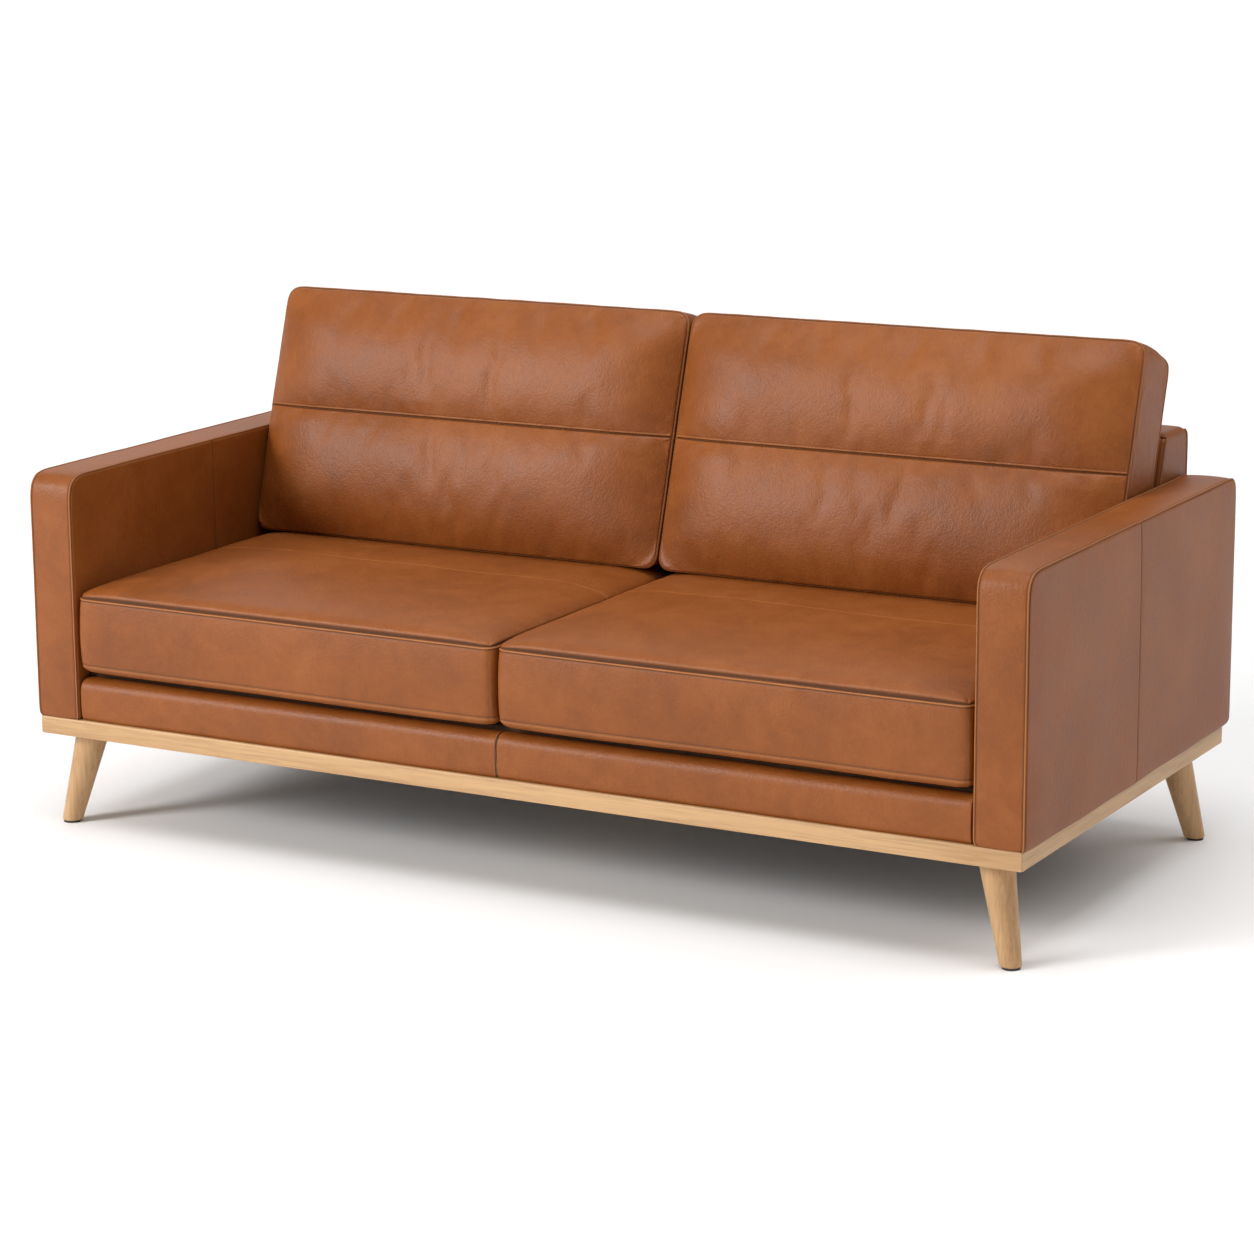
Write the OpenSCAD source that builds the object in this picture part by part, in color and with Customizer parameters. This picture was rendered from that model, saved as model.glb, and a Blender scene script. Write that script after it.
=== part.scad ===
// Two-seat leather sofa: an oak base ring on four splayed oak legs, an upholstered timber
// body, and four loose cushions that pull out.
// Millimetres. Origin on the floor under the middle of the sofa, +X to the right as seen
// from the front, +Y to the back, +Z up. "left" and "right" are as seen from the front.

/* [Overall] */
// Width over the two arms
sofa_w = 1910; // [1500:10:2400]
// Depth, front of the arms to back of the arms
sofa_d = 926; // [770:2:1120]
// Height of the top of the arms above the floor
arm_h = 643; // [560:1:690]
// Height of the top of the fixed back above the floor
back_h = 727; // [660:1:880]

/* [Arms] */
// Thickness of an arm
arm_t = 90; // [76:1:130]
// Radius of the arm's upper front corner
arm_front_r = 38; // [25:1:60]
// Radius of the arm's upper back corner
arm_back_r = 25; // [18:1:60]
// How far the seam in the arm's outer side is behind the middle of the sofa
side_seam_y = 3; // [-150:1:150]

/* [Oak base] */
// Height of the underside of the base ring above the floor
leg_h = 170; // [120:1:210]
// Height of the base rails
rail_h = 32; // [26:1:50]
// Width of the base rails, seen from below
rail_w = 64; // [58:1:90]
// How far the base stops short of the arms' outer sides
base_side_inset = 5; // [0:1:20]
// How far the base stops short of the back
base_back_inset = 24; // [0:1:60]
// Width of the middle cross rail
cross_rail_w = 50; // [30:1:80]
// Length of each corner block's sides
corner_block = 110; // [80:1:160]

/* [Legs] */
// Diameter of a leg where it meets the base
leg_top_d = 59; // [54:1:70]
// Diameter of a leg at the foot
leg_foot_d = 35; // [32:1:50]
// Leg centre at the top, in from the base's side
leg_inset_x = 69; // [60:1:90]
// Leg centre at the top, in from the base's front or back
leg_inset_y = 61; // [54:1:90]
// Outward splay of the foot along the width
splay_x = 38; // [0:1:50]
// Outward splay of the foot along the depth
splay_y = 24; // [0:1:40]
// Height of the glide under each foot
glide_h = 4; // [3:0.5:8]
// Diameter of the glide
glide_d = 29; // [20:1:31]

/* [Seat] */
// Height of the top of the apron, the padded front rail under the cushions
apron_h = 278; // [255:1:330]
// How far the apron stands behind the front of the arms
apron_recess = 5; // [0:1:20]
// Radius of the apron's upper edge
apron_r = 18; // [12:1:30]
// Height of the seat deck that the cushions lie on
deck_h = 288; // [275:1:345]
// Height of the front edge seam of a seat cushion above the deck
seat_edge_h = 139; // [100:1:180]
// How far the seat cushion's top rises above its front seam
seat_crown = 25; // [5:1:45]
// How far in from the front the rise runs
seat_crown_run = 150; // [60:1:220]
// Radius of the seat cushion's lower edges
seat_edge_r = 16; // [8:1:30]

/* [Back] */
// Depth of the fixed back at its top
back_top_t = 108; // [80:1:160]
// Backward lean of the fixed back and the back cushions, in degrees
back_lean = 17.5; // [8:0.5:22]
// Radius of the fixed back's upper edges
back_r = 20; // [17:1:30]
// Thickness of a back cushion at its edges
back_cushion_t = 136; // [90:1:170]
// Height of a back cushion along its lean
back_cushion_h = 468; // [380:1:560]
// How far the middle of a back cushion's front swells
back_crown = 24; // [0:1:34]
// Radius of a back cushion's corners
back_cushion_r = 28; // [14:1:45]
// Space between a back cushion and the fixed back
back_gap = 24; // [10:1:40]

/* [Skins and padding] */
// Thickness of the leather
leather_t = 2; // [1.2:0.1:3]
// Thickness of the foam under the leather on the arms and back
pad_t = 10; // [5:1:20]
// Thickness of the foam on the apron
apron_pad_t = 8; // [4:1:10]
// Thickness of a cushion's cover with the wadding sewn into it
cover_t = 3; // [2:0.5:6]
// Thickness of the cloth under the seat
dust_t = 1.5; // [1:0.5:3]

/* [Timber] */
// Thickness of the arm boards
board_t = 18; // [12:1:24]
// Thickness of the front and back seat rails
seat_rail_t = 38; // [28:1:50]
// Thickness of the plywood back ribs
rib_t = 24; // [18:1:30]
// Height of the back's top rail
top_rail_h = 24; // [18:1:40]
// Width of the window in each arm's side board
window_w = 300; // [100:10:320]

/* [Webbing] */
// Width of a strap
strap_w = 60; // [40:1:80]
// Thickness of a strap
strap_t = 3; // [1.5:0.5:4]
// Number of straps under the seat
seat_straps = 14; // [8:1:16]
// Number of straps in the back
back_straps = 10; // [6:1:14]

/* [Hardware] */
// Diameter of the hanger bolt in each leg
leg_bolt_d = 8; // [6:1:10]
// Length of the hanger bolt inside the leg
leg_bolt_in = 36; // [25:1:60]
// Length of the hanger bolt above the leg
leg_bolt_out = 19; // [10:1:24]
// Diameter of the round plate above each leg
plate_d = 50; // [44:1:52]
// Thickness of that plate
plate_t = 3; // [2:0.5:4]
// Diameter of the screws that hold the plate
screw_d = 3.5; // [3:0.5:4.5]
// Length of those screws
screw_l = 20; // [12:1:22]
// Diameter of the bolts between the base and the body
frame_bolt_d = 6; // [5:1:8]
// Reach of those bolts above the base
frame_bolt_reach = 34; // [20:1:45]
// Width of a zip's chain of teeth
chain_w = 6; // [4:0.5:8]
// Height of the chain above the cover
chain_t = 1.5; // [1:0.1:2.5]

/* [Clearances] */
// Space between a cushion and the arm beside it
side_gap = 4; // [2:0.5:12]
// Space between two cushions side by side
middle_gap = 6; // [3:0.5:15]
// Space under a cushion, so that it slides
rest_gap = 1; // [0.5:0.5:4]
// Space between pieces that are fitted together
fit_gap = 0.3; // [0.2:0.1:0.6]
// Space between the seat body and the arms beside it
body_gap = 2; // [1:0.5:5]

/* [Hidden] */

$fn = 48;
left = -1;
right = 1;
front = -1;
back = 1;

// Levels
base_top = leg_h + rail_h;
seat_rail_top = apron_h - leather_t - apron_pad_t;
deck_bottom = seat_rail_top + strap_t;
seat_bottom = deck_h + rest_gap;
seat_top = deck_h + seat_edge_h + seat_crown;
back_cushion_bottom = seat_top + 2 * rest_gap;

// Places along the depth
front_y = -sofa_d / 2;
back_y = sofa_d / 2;
base_back_y = back_y - base_back_inset;
apron_y = front_y + apron_recess;
apron_skin_end_y = apron_y + leather_t + apron_pad_t + seat_rail_t / 2;
seat_rail_front_end_y = apron_y + leather_t + apron_pad_t + seat_rail_t;
back_top_front_y = back_y - back_top_t;

// Places along the width
arm_inner_x = sofa_w / 2 - arm_t;
base_x = sofa_w / 2 - base_side_inset;
body_x = arm_inner_x - body_gap;
cushion_w = (2 * arm_inner_x - 2 * side_gap - middle_gap) / 2;
skin_and_pad = leather_t + pad_t;
side_board_x = sofa_w / 2 - skin_and_pad - board_t;
rib_x = body_x - leather_t - fit_gap - rib_t / 2;

// Front plane of the fixed back at a given height
function back_front_y(z) = back_top_front_y + (z - back_h) * tan(back_lean);
back_skin_t = leather_t + pad_t;
rib_inset = back_skin_t + strap_t + fit_gap;
seat_rail_back_end_y = back_front_y(base_top) + rib_inset / cos(back_lean) + seat_rail_t;

// The back cushion stands back_gap in front of the fixed back, on the seat cushion
back_cushion_y = back_front_y(back_cushion_bottom)
  - (back_gap + back_cushion_t) / cos(back_lean);
seat_back_y = back_front_y(seat_bottom) - back_gap;

// Legs: centre at the top, and the tilt of the leg's axis
function leg_x(side) = side * (base_x - leg_inset_x);
function leg_y(end) = end < 0 ? front_y + leg_inset_y : base_back_y - leg_inset_y;
leg_splay = norm([splay_x, splay_y]);
leg_len = norm([leg_splay, leg_h]);
leg_tilt = atan2(leg_splay, leg_h);
leg_taper = (leg_top_d - leg_foot_d) / 2 / leg_len;
bolt_bore_d = leg_bolt_d + 2 * fit_gap;
socket_d = leg_bolt_d + 2;
screw_ring_r = 17;
screw_head_d = 2 * screw_d;

// Bolts that hold the body on the base: [x, y]
front_bolt_x = sofa_w / 4;
frame_bolt_head_d = 2 * frame_bolt_d;
frame_bolt_head_h = 5;
front_bolt_y = apron_y + leather_t + apron_pad_t + seat_rail_t / 2;
back_bolt_y = base_back_y - rail_w / 2;
frame_bolt_places = [
  [-front_bolt_x, front_bolt_y], [front_bolt_x, front_bolt_y],
  [-rib_x, back_bolt_y], [0, back_bolt_y], [rib_x, back_bolt_y],
  [-(side_board_x + board_t / 2), 0], [side_board_x + board_t / 2, 0]];

// Zips
zip_margin = 60;
slider_l = 14;
slider_wall = 2;
slider_h = chain_t + fit_gap + slider_wall;
pull_w = 6;
pull_l = 24;
pull_t = 1.5;

// Small overrun, so that cutters pass through what they cut
over = 1;

// ---- helpers ----

// Points along an arc
function arc(cx, cy, r, a0, a1, n = 6) =
  [for (i = [0:n]) [cx + r * cos(a0 + (a1 - a0) * i / n), cy + r * sin(a0 + (a1 - a0) * i / n)]];

// A shape drawn with depth and height, drawn out along the width from x0 to x1
module slab(x0, x1) {
  translate([x0, 0, 0])
    rotate([90, 0, 90])
      linear_extrude(x1 - x0)
        children();
}

// A box from its low corner to its high corner
module block(low, high) {
  translate(low)
    cube(high - low);
}

// The same piece on the right, or mirrored to the left
module on_side(side) {
  if (side < 0) mirror([1, 0, 0]) children();
  else children();
}

// Everything below, above, in front of or behind a line in a depth and height drawing
far = 3000;
module below(z) translate([-far, z - far]) square([2 * far, far]);
module above(z) translate([-far, z]) square([2 * far, far]);
module ahead_of(y) translate([y - far, -far]) square([far, 2 * far]);
module behind(y) translate([y, -far]) square([far, 2 * far]);

// ---- oak base ----

// Axis of one leg: the origin is the centre of the leg's top, +Z runs up the leg, and the
// turn about it keeps the seam line of a round face away from where the leg is cut level
module leg_axis(side, end) {
  lean_to = atan2(-end * splay_y, -side * splay_x);
  translate([leg_x(side), leg_y(end), leg_h])
    rotate([0, leg_tilt, lean_to])
      rotate(45)
        children();
}

module each_leg() {
  for (s = [left, right], e = [front, back]) {
    $side = s;
    $end = e;
    children();
  }
}

// Places of one plate's screws, from the plate's centre
module each_screw() {
  for (a = [45:90:315]) rotate(a) translate([screw_ring_r, 0, 0]) children();
}

// Recesses for the leg plates, sockets for their bolts, and the body bolts' holes
module base_cuts() {
  each_leg() {
    translate([leg_x($side), leg_y($end), leg_h - over])
      cylinder(h = plate_t + fit_gap + over, d = plate_d + 2 * fit_gap);
    leg_axis($side, $end)
      translate([0, 0, -over])
        cylinder(h = leg_bolt_out + 2 * over, d = socket_d);
    translate([leg_x($side), leg_y($end), leg_h])
      each_screw()
        cylinder(h = screw_l + fit_gap, d = screw_d + 2 * fit_gap, $fn = 24);
  }
  for (p = frame_bolt_places) translate([p.x, p.y, leg_h - over]) {
    cylinder(h = rail_h + 2 * over, d = frame_bolt_d + 2 * fit_gap);
    cylinder(h = frame_bolt_head_h + fit_gap + over, d = frame_bolt_head_d + 2 * fit_gap);
  }
}

// A mitred rail, drawn in plan by its four corners
module base_rail(plan) {
  color("burlywood")
    difference() {
      translate([0, 0, leg_h])
        linear_extrude(rail_h)
          polygon(plan);
      base_cuts();
    }
}

module base_rail_along_x(y_out, y_in) {
  base_rail([[-base_x, y_out], [base_x, y_out], [base_x - rail_w, y_in],
    [rail_w - base_x, y_in]]);
}

module base_rail_along_y(side) {
  base_rail([[side * base_x, front_y], [side * base_x, base_back_y],
    [side * (base_x - rail_w), base_back_y - rail_w],
    [side * (base_x - rail_w), front_y + rail_w]]);
}

module base_cross_rail() {
  color("burlywood")
    block([-cross_rail_w / 2, front_y + rail_w, leg_h],
      [cross_rail_w / 2, base_back_y - rail_w, base_top - dust_t]);
}

module base_corner_blocks() {
  cut = corner_block * 0.3;
  color("tan")
    difference() {
      for (s = [left, right], e = [front, back]) {
        corner_y = e < 0 ? front_y + rail_w : base_back_y - rail_w;
        translate([s * (base_x - rail_w), corner_y, leg_h])
          mirror([s > 0 ? 1 : 0, 0, 0])
            mirror([0, e > 0 ? 1 : 0, 0])
              linear_extrude(rail_h - dust_t)
                polygon([[0, 0], [corner_block, 0], [corner_block, cut],
                  [cut, corner_block], [0, corner_block]]);
      }
      base_cuts();
    }
}

module leg(side, end) {
  color("burlywood")
    difference() {
      intersection() {
        leg_axis(side, end)
          translate([0, 0, -leg_len - leg_foot_d])
            cylinder(h = leg_len + 2 * leg_foot_d, d1 = leg_foot_d - 2 * leg_foot_d * leg_taper,
              d2 = leg_top_d + 2 * leg_foot_d * leg_taper, $fn = 64);
        translate([-sofa_w, -sofa_d, glide_h])
          cube([2 * sofa_w, 2 * sofa_d, leg_h - glide_h]);
      }
      leg_axis(side, end)
        translate([0, 0, -leg_bolt_in - over])
          cylinder(h = leg_bolt_in + 20 * over, d = bolt_bore_d);
    }
}

module leg_plates() {
  color("silver")
    each_leg()
      difference() {
        translate([leg_x($side), leg_y($end), leg_h])
          cylinder(h = plate_t, d = plate_d);
        leg_axis($side, $end)
          translate([0, 0, -10 * over])
            cylinder(h = 20 * over, d = bolt_bore_d);
        translate([leg_x($side), leg_y($end), leg_h - over])
          each_screw()
            cylinder(h = plate_t + 2 * over, d = screw_d + 2 * fit_gap, $fn = 24);
        translate([leg_x($side), leg_y($end), leg_h - over])
          each_screw()
            cylinder(h = plate_t / 2 + over, d = screw_head_d + 2 * fit_gap, $fn = 24);
      }
}

module leg_bolts() {
  color("gray")
    each_leg()
      leg_axis($side, $end)
        translate([0, 0, -leg_bolt_in])
          cylinder(h = leg_bolt_in + leg_bolt_out, d = leg_bolt_d);
}

module leg_plate_screws() {
  color("gray")
    each_leg()
      translate([leg_x($side), leg_y($end), leg_h])
        each_screw() {
          cylinder(h = screw_l, d = screw_d, $fn = 24);
          cylinder(h = plate_t / 2 - fit_gap, d = screw_head_d, $fn = 24);
        }
}

module leg_glides() {
  color("dimgray")
    each_leg()
      translate([leg_x($side) + $side * splay_x, leg_y($end) + $end * splay_y, 0])
        cylinder(h = glide_h, d = glide_d);
}

module frame_bolts(grow = 0) {
  color("gray")
    for (p = frame_bolt_places) translate([p.x, p.y, leg_h]) {
      cylinder(h = rail_h + frame_bolt_reach + grow, d = frame_bolt_d + 2 * grow);
      cylinder(h = frame_bolt_head_h, d = frame_bolt_head_d);
    }
}

// ---- arms ----

// The arm's outline from the side, taken in by d and run down past its foot by drop
function arm_outline(d, drop = 0) = concat(
  [[front_y + d, base_top - drop]],
  arc(front_y + arm_front_r, arm_h - arm_front_r, arm_front_r - d, 180, 90),
  arc(back_y - arm_back_r, arm_h - arm_back_r, arm_back_r - d, 90, 0),
  [[back_y - d, base_top - drop]]);

// The drawing between two takes of the outline, open at the foot
module arm_rim(d_out, d_in) {
  difference() {
    polygon(arm_outline(d_out));
    polygon(arm_outline(d_in, over));
  }
}

module arm_outer_panel(side, end) {
  color("sienna")
    on_side(side)
      slab(sofa_w / 2 - leather_t, sofa_w / 2)
        intersection() {
          polygon(arm_outline(0));
          if (end == front) ahead_of(side_seam_y);
          else behind(side_seam_y);
        }
}

module arm_inner_panel(side) {
  color("sienna")
    on_side(side)
      slab(arm_inner_x, arm_inner_x + leather_t)
        polygon(arm_outline(0));
}

module arm_band(side) {
  color("peru")
    on_side(side)
      slab(arm_inner_x + leather_t, sofa_w / 2 - leather_t)
        arm_rim(0, leather_t);
}

module arm_pad(side) {
  color("khaki")
    on_side(side)
      difference() {
        slab(arm_inner_x + leather_t, sofa_w / 2 - leather_t)
          polygon(arm_outline(leather_t));
        slab(arm_inner_x + skin_and_pad, sofa_w / 2 - skin_and_pad)
          polygon(arm_outline(skin_and_pad, over));
      }
}

module arm_side_board(side) {
  color("wheat")
    difference() {
      on_side(side)
        slab(side_board_x, side_board_x + board_t)
          difference() {
            polygon(arm_outline(skin_and_pad));
            for (y = [-window_w / 2 - 2 * board_t, window_w / 2 + 2 * board_t])
              translate([y - window_w / 2, base_top + 5 * board_t])
                square([window_w, arm_h - base_top - 10 * board_t]);
          }
      frame_bolts(fit_gap);
    }
}

module arm_top_board(side) {
  top = arm_h - skin_and_pad;
  color("wheat")
    on_side(side)
      slab(arm_inner_x + skin_and_pad, side_board_x)
        intersection() {
          polygon(arm_outline(skin_and_pad));
          above(top - board_t);
        }
}

module arm_front_board(side) {
  color("wheat")
    on_side(side)
      slab(arm_inner_x + skin_and_pad, side_board_x)
        intersection() {
          polygon(arm_outline(skin_and_pad));
          ahead_of(front_y + skin_and_pad + board_t);
          below(arm_h - skin_and_pad - board_t);
        }
}

// ---- seat ----

// The apron's outline from the side, taken in by d and closed at y_end
function apron_outline(d, y_end, drop = 0) = concat(
  [[apron_y + d, base_top - drop]],
  arc(apron_y + apron_r, apron_h - apron_r, apron_r - d, 180, 90),
  [[y_end, apron_h - d], [y_end, base_top - drop]]);

module apron_cover(side) {
  color("sienna")
    on_side(side)
      slab(0, body_x)
        difference() {
          polygon(apron_outline(0, apron_skin_end_y));
          polygon(apron_outline(leather_t, apron_skin_end_y + over, over));
        }
}

module apron_pad() {
  color("khaki")
    slab(-body_x, body_x)
      difference() {
        polygon(apron_outline(leather_t, apron_skin_end_y));
        polygon(apron_outline(leather_t + apron_pad_t, apron_skin_end_y + over, over));
      }
}

module seat_rail_front() {
  color("wheat")
    difference() {
      slab(-body_x, body_x)
        polygon(apron_outline(leather_t + apron_pad_t, seat_rail_front_end_y));
      frame_bolts(fit_gap);
    }
}

module seat_rail_back() {
  color("wheat")
    slab(-body_x + leather_t + fit_gap, body_x - leather_t - fit_gap)
      intersection() {
        polygon(back_outline(rib_inset, base_top));
        below(seat_rail_top);
        ahead_of(seat_rail_back_end_y);
      }
}

module seat_webbing() {
  start_y = apron_skin_end_y + fit_gap;
  end_y = seat_rail_back_end_y - fit_gap;
  pitch = 2 * body_x / seat_straps;
  color("dimgray")
    for (i = [0:seat_straps - 1]) {
      x = -body_x + (i + 0.5) * pitch;
      block([x - strap_w / 2, start_y, seat_rail_top], [x + strap_w / 2, end_y, deck_bottom]);
    }
}

module seat_deck() {
  color("saddlebrown")
    block([-body_x, apron_skin_end_y + fit_gap, deck_bottom],
      [body_x, back_front_y(deck_bottom) - body_gap, deck_h]);
}

module dust_cover() {
  color("black")
    block([rail_w - base_x + fit_gap, front_y + rail_w + fit_gap, base_top - dust_t],
      [base_x - rail_w - fit_gap, base_back_y - rail_w - fit_gap, base_top]);
}

// ---- fixed back ----

// The back's outline from the side, taken in by d, with its foot at z_foot
function back_outline(d, z_foot) = concat(
  [[back_front_y(z_foot) + d / cos(back_lean), z_foot]],
  arc(back_front_y(back_h - back_r) + back_r / cos(back_lean), back_h - back_r,
    back_r - d, 180 - back_lean, 90),
  arc(back_y - back_r, back_h - back_r, back_r - d, 90, 0),
  [[back_y - d, z_foot]]);

// The back above the deck, taken in by d
module back_side(d) {
  intersection() {
    polygon(back_outline(d, deck_bottom - over));
    above(deck_bottom);
  }
}

module back_rim(d_out, d_in) {
  difference() {
    back_side(d_out);
    polygon(back_outline(d_in, deck_bottom - over));
  }
}

module back_front_panel() {
  color("sienna")
    slab(leather_t - body_x, body_x - leather_t)
      intersection() {
        back_rim(0, leather_t);
        below(back_h - back_r);
        ahead_of(back_top_front_y);
      }
}

module back_rear_panel() {
  color("sienna")
    block([leather_t - body_x, back_y - leather_t, base_top],
      [body_x - leather_t, back_y, back_h - back_r]);
}

// The strip over the top, in one with the two end panels
module back_band() {
  color("peru") {
    slab(-body_x, body_x)
      intersection() {
        back_rim(0, leather_t);
        above(back_h - back_r);
      }
    for (s = [left, right])
      on_side(s)
        slab(body_x - leather_t, body_x)
          back_side(0);
  }
}

module back_pad() {
  color("khaki")
    slab(leather_t - body_x, body_x - leather_t)
      back_rim(leather_t, back_skin_t);
}

module back_timber() {
  polygon(back_outline(rib_inset, base_top));
}

module back_rib(x) {
  color("wheat")
    difference() {
      slab(x - rib_t / 2, x + rib_t / 2)
        difference() {
          intersection() {
            back_timber();
            below(back_h - rib_inset - top_rail_h);
          }
          intersection() {
            below(seat_rail_top);
            ahead_of(seat_rail_back_end_y);
          }
        }
      frame_bolts(fit_gap);
    }
}

module back_top_rail() {
  color("wheat")
    slab(-rib_x - rib_t / 2, rib_x + rib_t / 2)
      intersection() {
        back_timber();
        above(back_h - rib_inset - top_rail_h);
      }
}

module back_webbing() {
  pitch = 2 * (rib_x - rib_t) / back_straps;
  color("dimgray")
    for (i = [0:back_straps - 1]) {
      x = -rib_x + rib_t + (i + 0.5) * pitch;
      slab(x - strap_w / 2, x + strap_w / 2)
        intersection() {
          difference() {
            polygon(back_outline(back_skin_t + fit_gap, deck_bottom + over));
            polygon(back_outline(rib_inset, deck_bottom - over));
          }
          below(back_h - rib_inset - top_rail_h / 2);
          ahead_of(back_top_front_y);
        }
    }
}

// ---- cushions ----

// Right cushions start at middle_gap / 2, and left ones are their mirror images
cushion_x = middle_gap / 2;

// The seat cushion's outline from the side, taken in by d
function seat_outline(d) = concat(
  arc(front_y + seat_edge_r, seat_bottom + seat_edge_r, seat_edge_r - d, 270, 180),
  [for (t = [0:1 / 6:1]) [front_y + d + seat_crown_run * t,
    deck_h + seat_edge_h - d + seat_crown * sin(90 * t)]],
  arc(seat_back_y - seat_edge_r, seat_top - seat_edge_r, seat_edge_r - d, 90, 0),
  arc(seat_back_y - seat_edge_r, seat_bottom + seat_edge_r, seat_edge_r - d, 0, -90));

// From thickness and height within a leaning cushion to depth and height
function leaned(a, b) = [
  back_cushion_y + a * cos(back_lean) + b * sin(back_lean),
  back_cushion_bottom - a * sin(back_lean) + b * cos(back_lean)];

// Height within a leaning cushion, at thickness a, of the level d above its foot
function foot(a, d) = (d + a * sin(back_lean)) / cos(back_lean);

// The back cushion's outline from the side, taken in by d
function back_cushion_outline(d) = let (
    r = back_cushion_r,
    top = back_cushion_h - r,
    low = foot(d, d)) concat(
  [for (t = [0:1 / 10:1]) leaned(d - back_crown * sin(180 * t), low + (top - low) * t)],
  [for (p = arc(r, top, r - d, 165, 90)) leaned(p.x, p.y)],
  [for (p = arc(back_cushion_t - r, top, r - d, 90, 0)) leaned(p.x, p.y)],
  [leaned(back_cushion_t - d, foot(back_cushion_t - d, d))]);

module cushion_cover(outline, inner) {
  difference() {
    slab(cushion_x, cushion_x + cushion_w)
      polygon(outline);
    slab(cushion_x + cover_t, cushion_x + cushion_w - cover_t)
      polygon(inner);
  }
}

module cushion_core(inner) {
  color("khaki")
    slab(cushion_x + cover_t + fit_gap, cushion_x + cushion_w - cover_t - fit_gap)
      polygon(inner);
}

// A zip's chain of teeth, on a back face whose surface is the plane y = 0 at height 0
module zip_chain() {
  block([cushion_x + zip_margin, -leather_t, -chain_w / 2],
    [cushion_x + cushion_w - zip_margin, chain_t, chain_w / 2]);
}

// The zip's slider, closed at the end of the chain nearest the middle of the sofa
module zip_slider() {
  x = cushion_x + zip_margin;
  half = chain_w / 2 + fit_gap;
  color("silver")
    difference() {
      union() {
        block([x, fit_gap, -half - slider_wall], [x + slider_l, slider_h, half + slider_wall]);
        block([x + slider_l / 2 - pull_w / 2, slider_h - over, -pull_l],
          [x + slider_l / 2 + pull_w / 2, slider_h + pull_t, 0]);
      }
      block([x - over, 0, -half], [x + slider_l + over, chain_t + fit_gap, half]);
    }
}

// Where the zips lie: the middle of the seat cushion's back, and low on the back cushion's
module on_seat_back() {
  translate([0, seat_back_y, (seat_bottom + seat_top) / 2]) children();
}

module on_back_cushion_back() {
  translate([0, back_cushion_y, back_cushion_bottom])
    rotate([-back_lean, 0, 0])
      translate([0, back_cushion_t, back_cushion_h / 3])
        children();
}

module seat_cover(side) {
  color("chocolate")
    on_side(side) {
      cushion_cover(seat_outline(0), seat_outline(cover_t));
      on_seat_back() zip_chain();
    }
}

module seat_core(side) {
  on_side(side) cushion_core(seat_outline(cover_t + fit_gap));
}

module seat_zip_slider(side) {
  on_side(side) on_seat_back() zip_slider();
}

module back_cover(side) {
  color("chocolate")
    on_side(side) {
      cushion_cover(back_cushion_outline(0), back_cushion_outline(cover_t));
      on_back_cushion_back() zip_chain();
    }
}

module back_core(side) {
  on_side(side) cushion_core(back_cushion_outline(cover_t + fit_gap));
}

module back_zip_slider(side) {
  on_side(side) on_back_cushion_back() zip_slider();
}

// ---- the sofa ----

base_rail_along_x(front_y, front_y + rail_w);  // base_rail_front
base_rail_along_x(base_back_y, base_back_y - rail_w);  // base_rail_back
base_rail_along_y(left);  // base_rail_left
base_rail_along_y(right);  // base_rail_right
base_cross_rail();
base_corner_blocks();
leg(left, front);  // leg_front_left
leg(right, front);  // leg_front_right
leg(left, back);  // leg_back_left
leg(right, back);  // leg_back_right
leg_plates();
leg_bolts();
leg_plate_screws();
leg_glides();
frame_bolts();
arm_side_board(left);  // arm_left_side_board
arm_top_board(left);  // arm_left_top_board
arm_front_board(left);  // arm_left_front_board
arm_pad(left);  // arm_left_pad
arm_outer_panel(left, front);  // arm_left_outer_front
arm_outer_panel(left, back);  // arm_left_outer_back
arm_band(left);  // arm_left_band
arm_inner_panel(left);  // arm_left_inner_panel
arm_side_board(right);  // arm_right_side_board
arm_top_board(right);  // arm_right_top_board
arm_front_board(right);  // arm_right_front_board
arm_pad(right);  // arm_right_pad
arm_outer_panel(right, front);  // arm_right_outer_front
arm_outer_panel(right, back);  // arm_right_outer_back
arm_band(right);  // arm_right_band
arm_inner_panel(right);  // arm_right_inner_panel
seat_rail_front();
seat_rail_back();
back_rib(-rib_x);  // back_rib_left
back_rib(0);  // back_rib_middle
back_rib(rib_x);  // back_rib_right
back_top_rail();
seat_webbing();
back_webbing();
apron_pad();
back_pad();
apron_cover(left);  // apron_cover_left
apron_cover(right);  // apron_cover_right
seat_deck();
back_front_panel();
back_band();
back_rear_panel();
dust_cover();
seat_cover(left);  // seat_left_cover
seat_core(left);  // seat_left_core
seat_zip_slider(left);  // seat_left_zip_slider
seat_cover(right);  // seat_right_cover
seat_core(right);  // seat_right_core
seat_zip_slider(right);  // seat_right_zip_slider
back_cover(left);  // back_left_cover
back_core(left);  // back_left_core
back_zip_slider(left);  // back_left_zip_slider
back_cover(right);  // back_right_cover
back_core(right);  // back_right_core
back_zip_slider(right);  // back_right_zip_slider
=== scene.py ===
import math

import bmesh
import bpy
from mathutils import Matrix, Vector, noise


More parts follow.
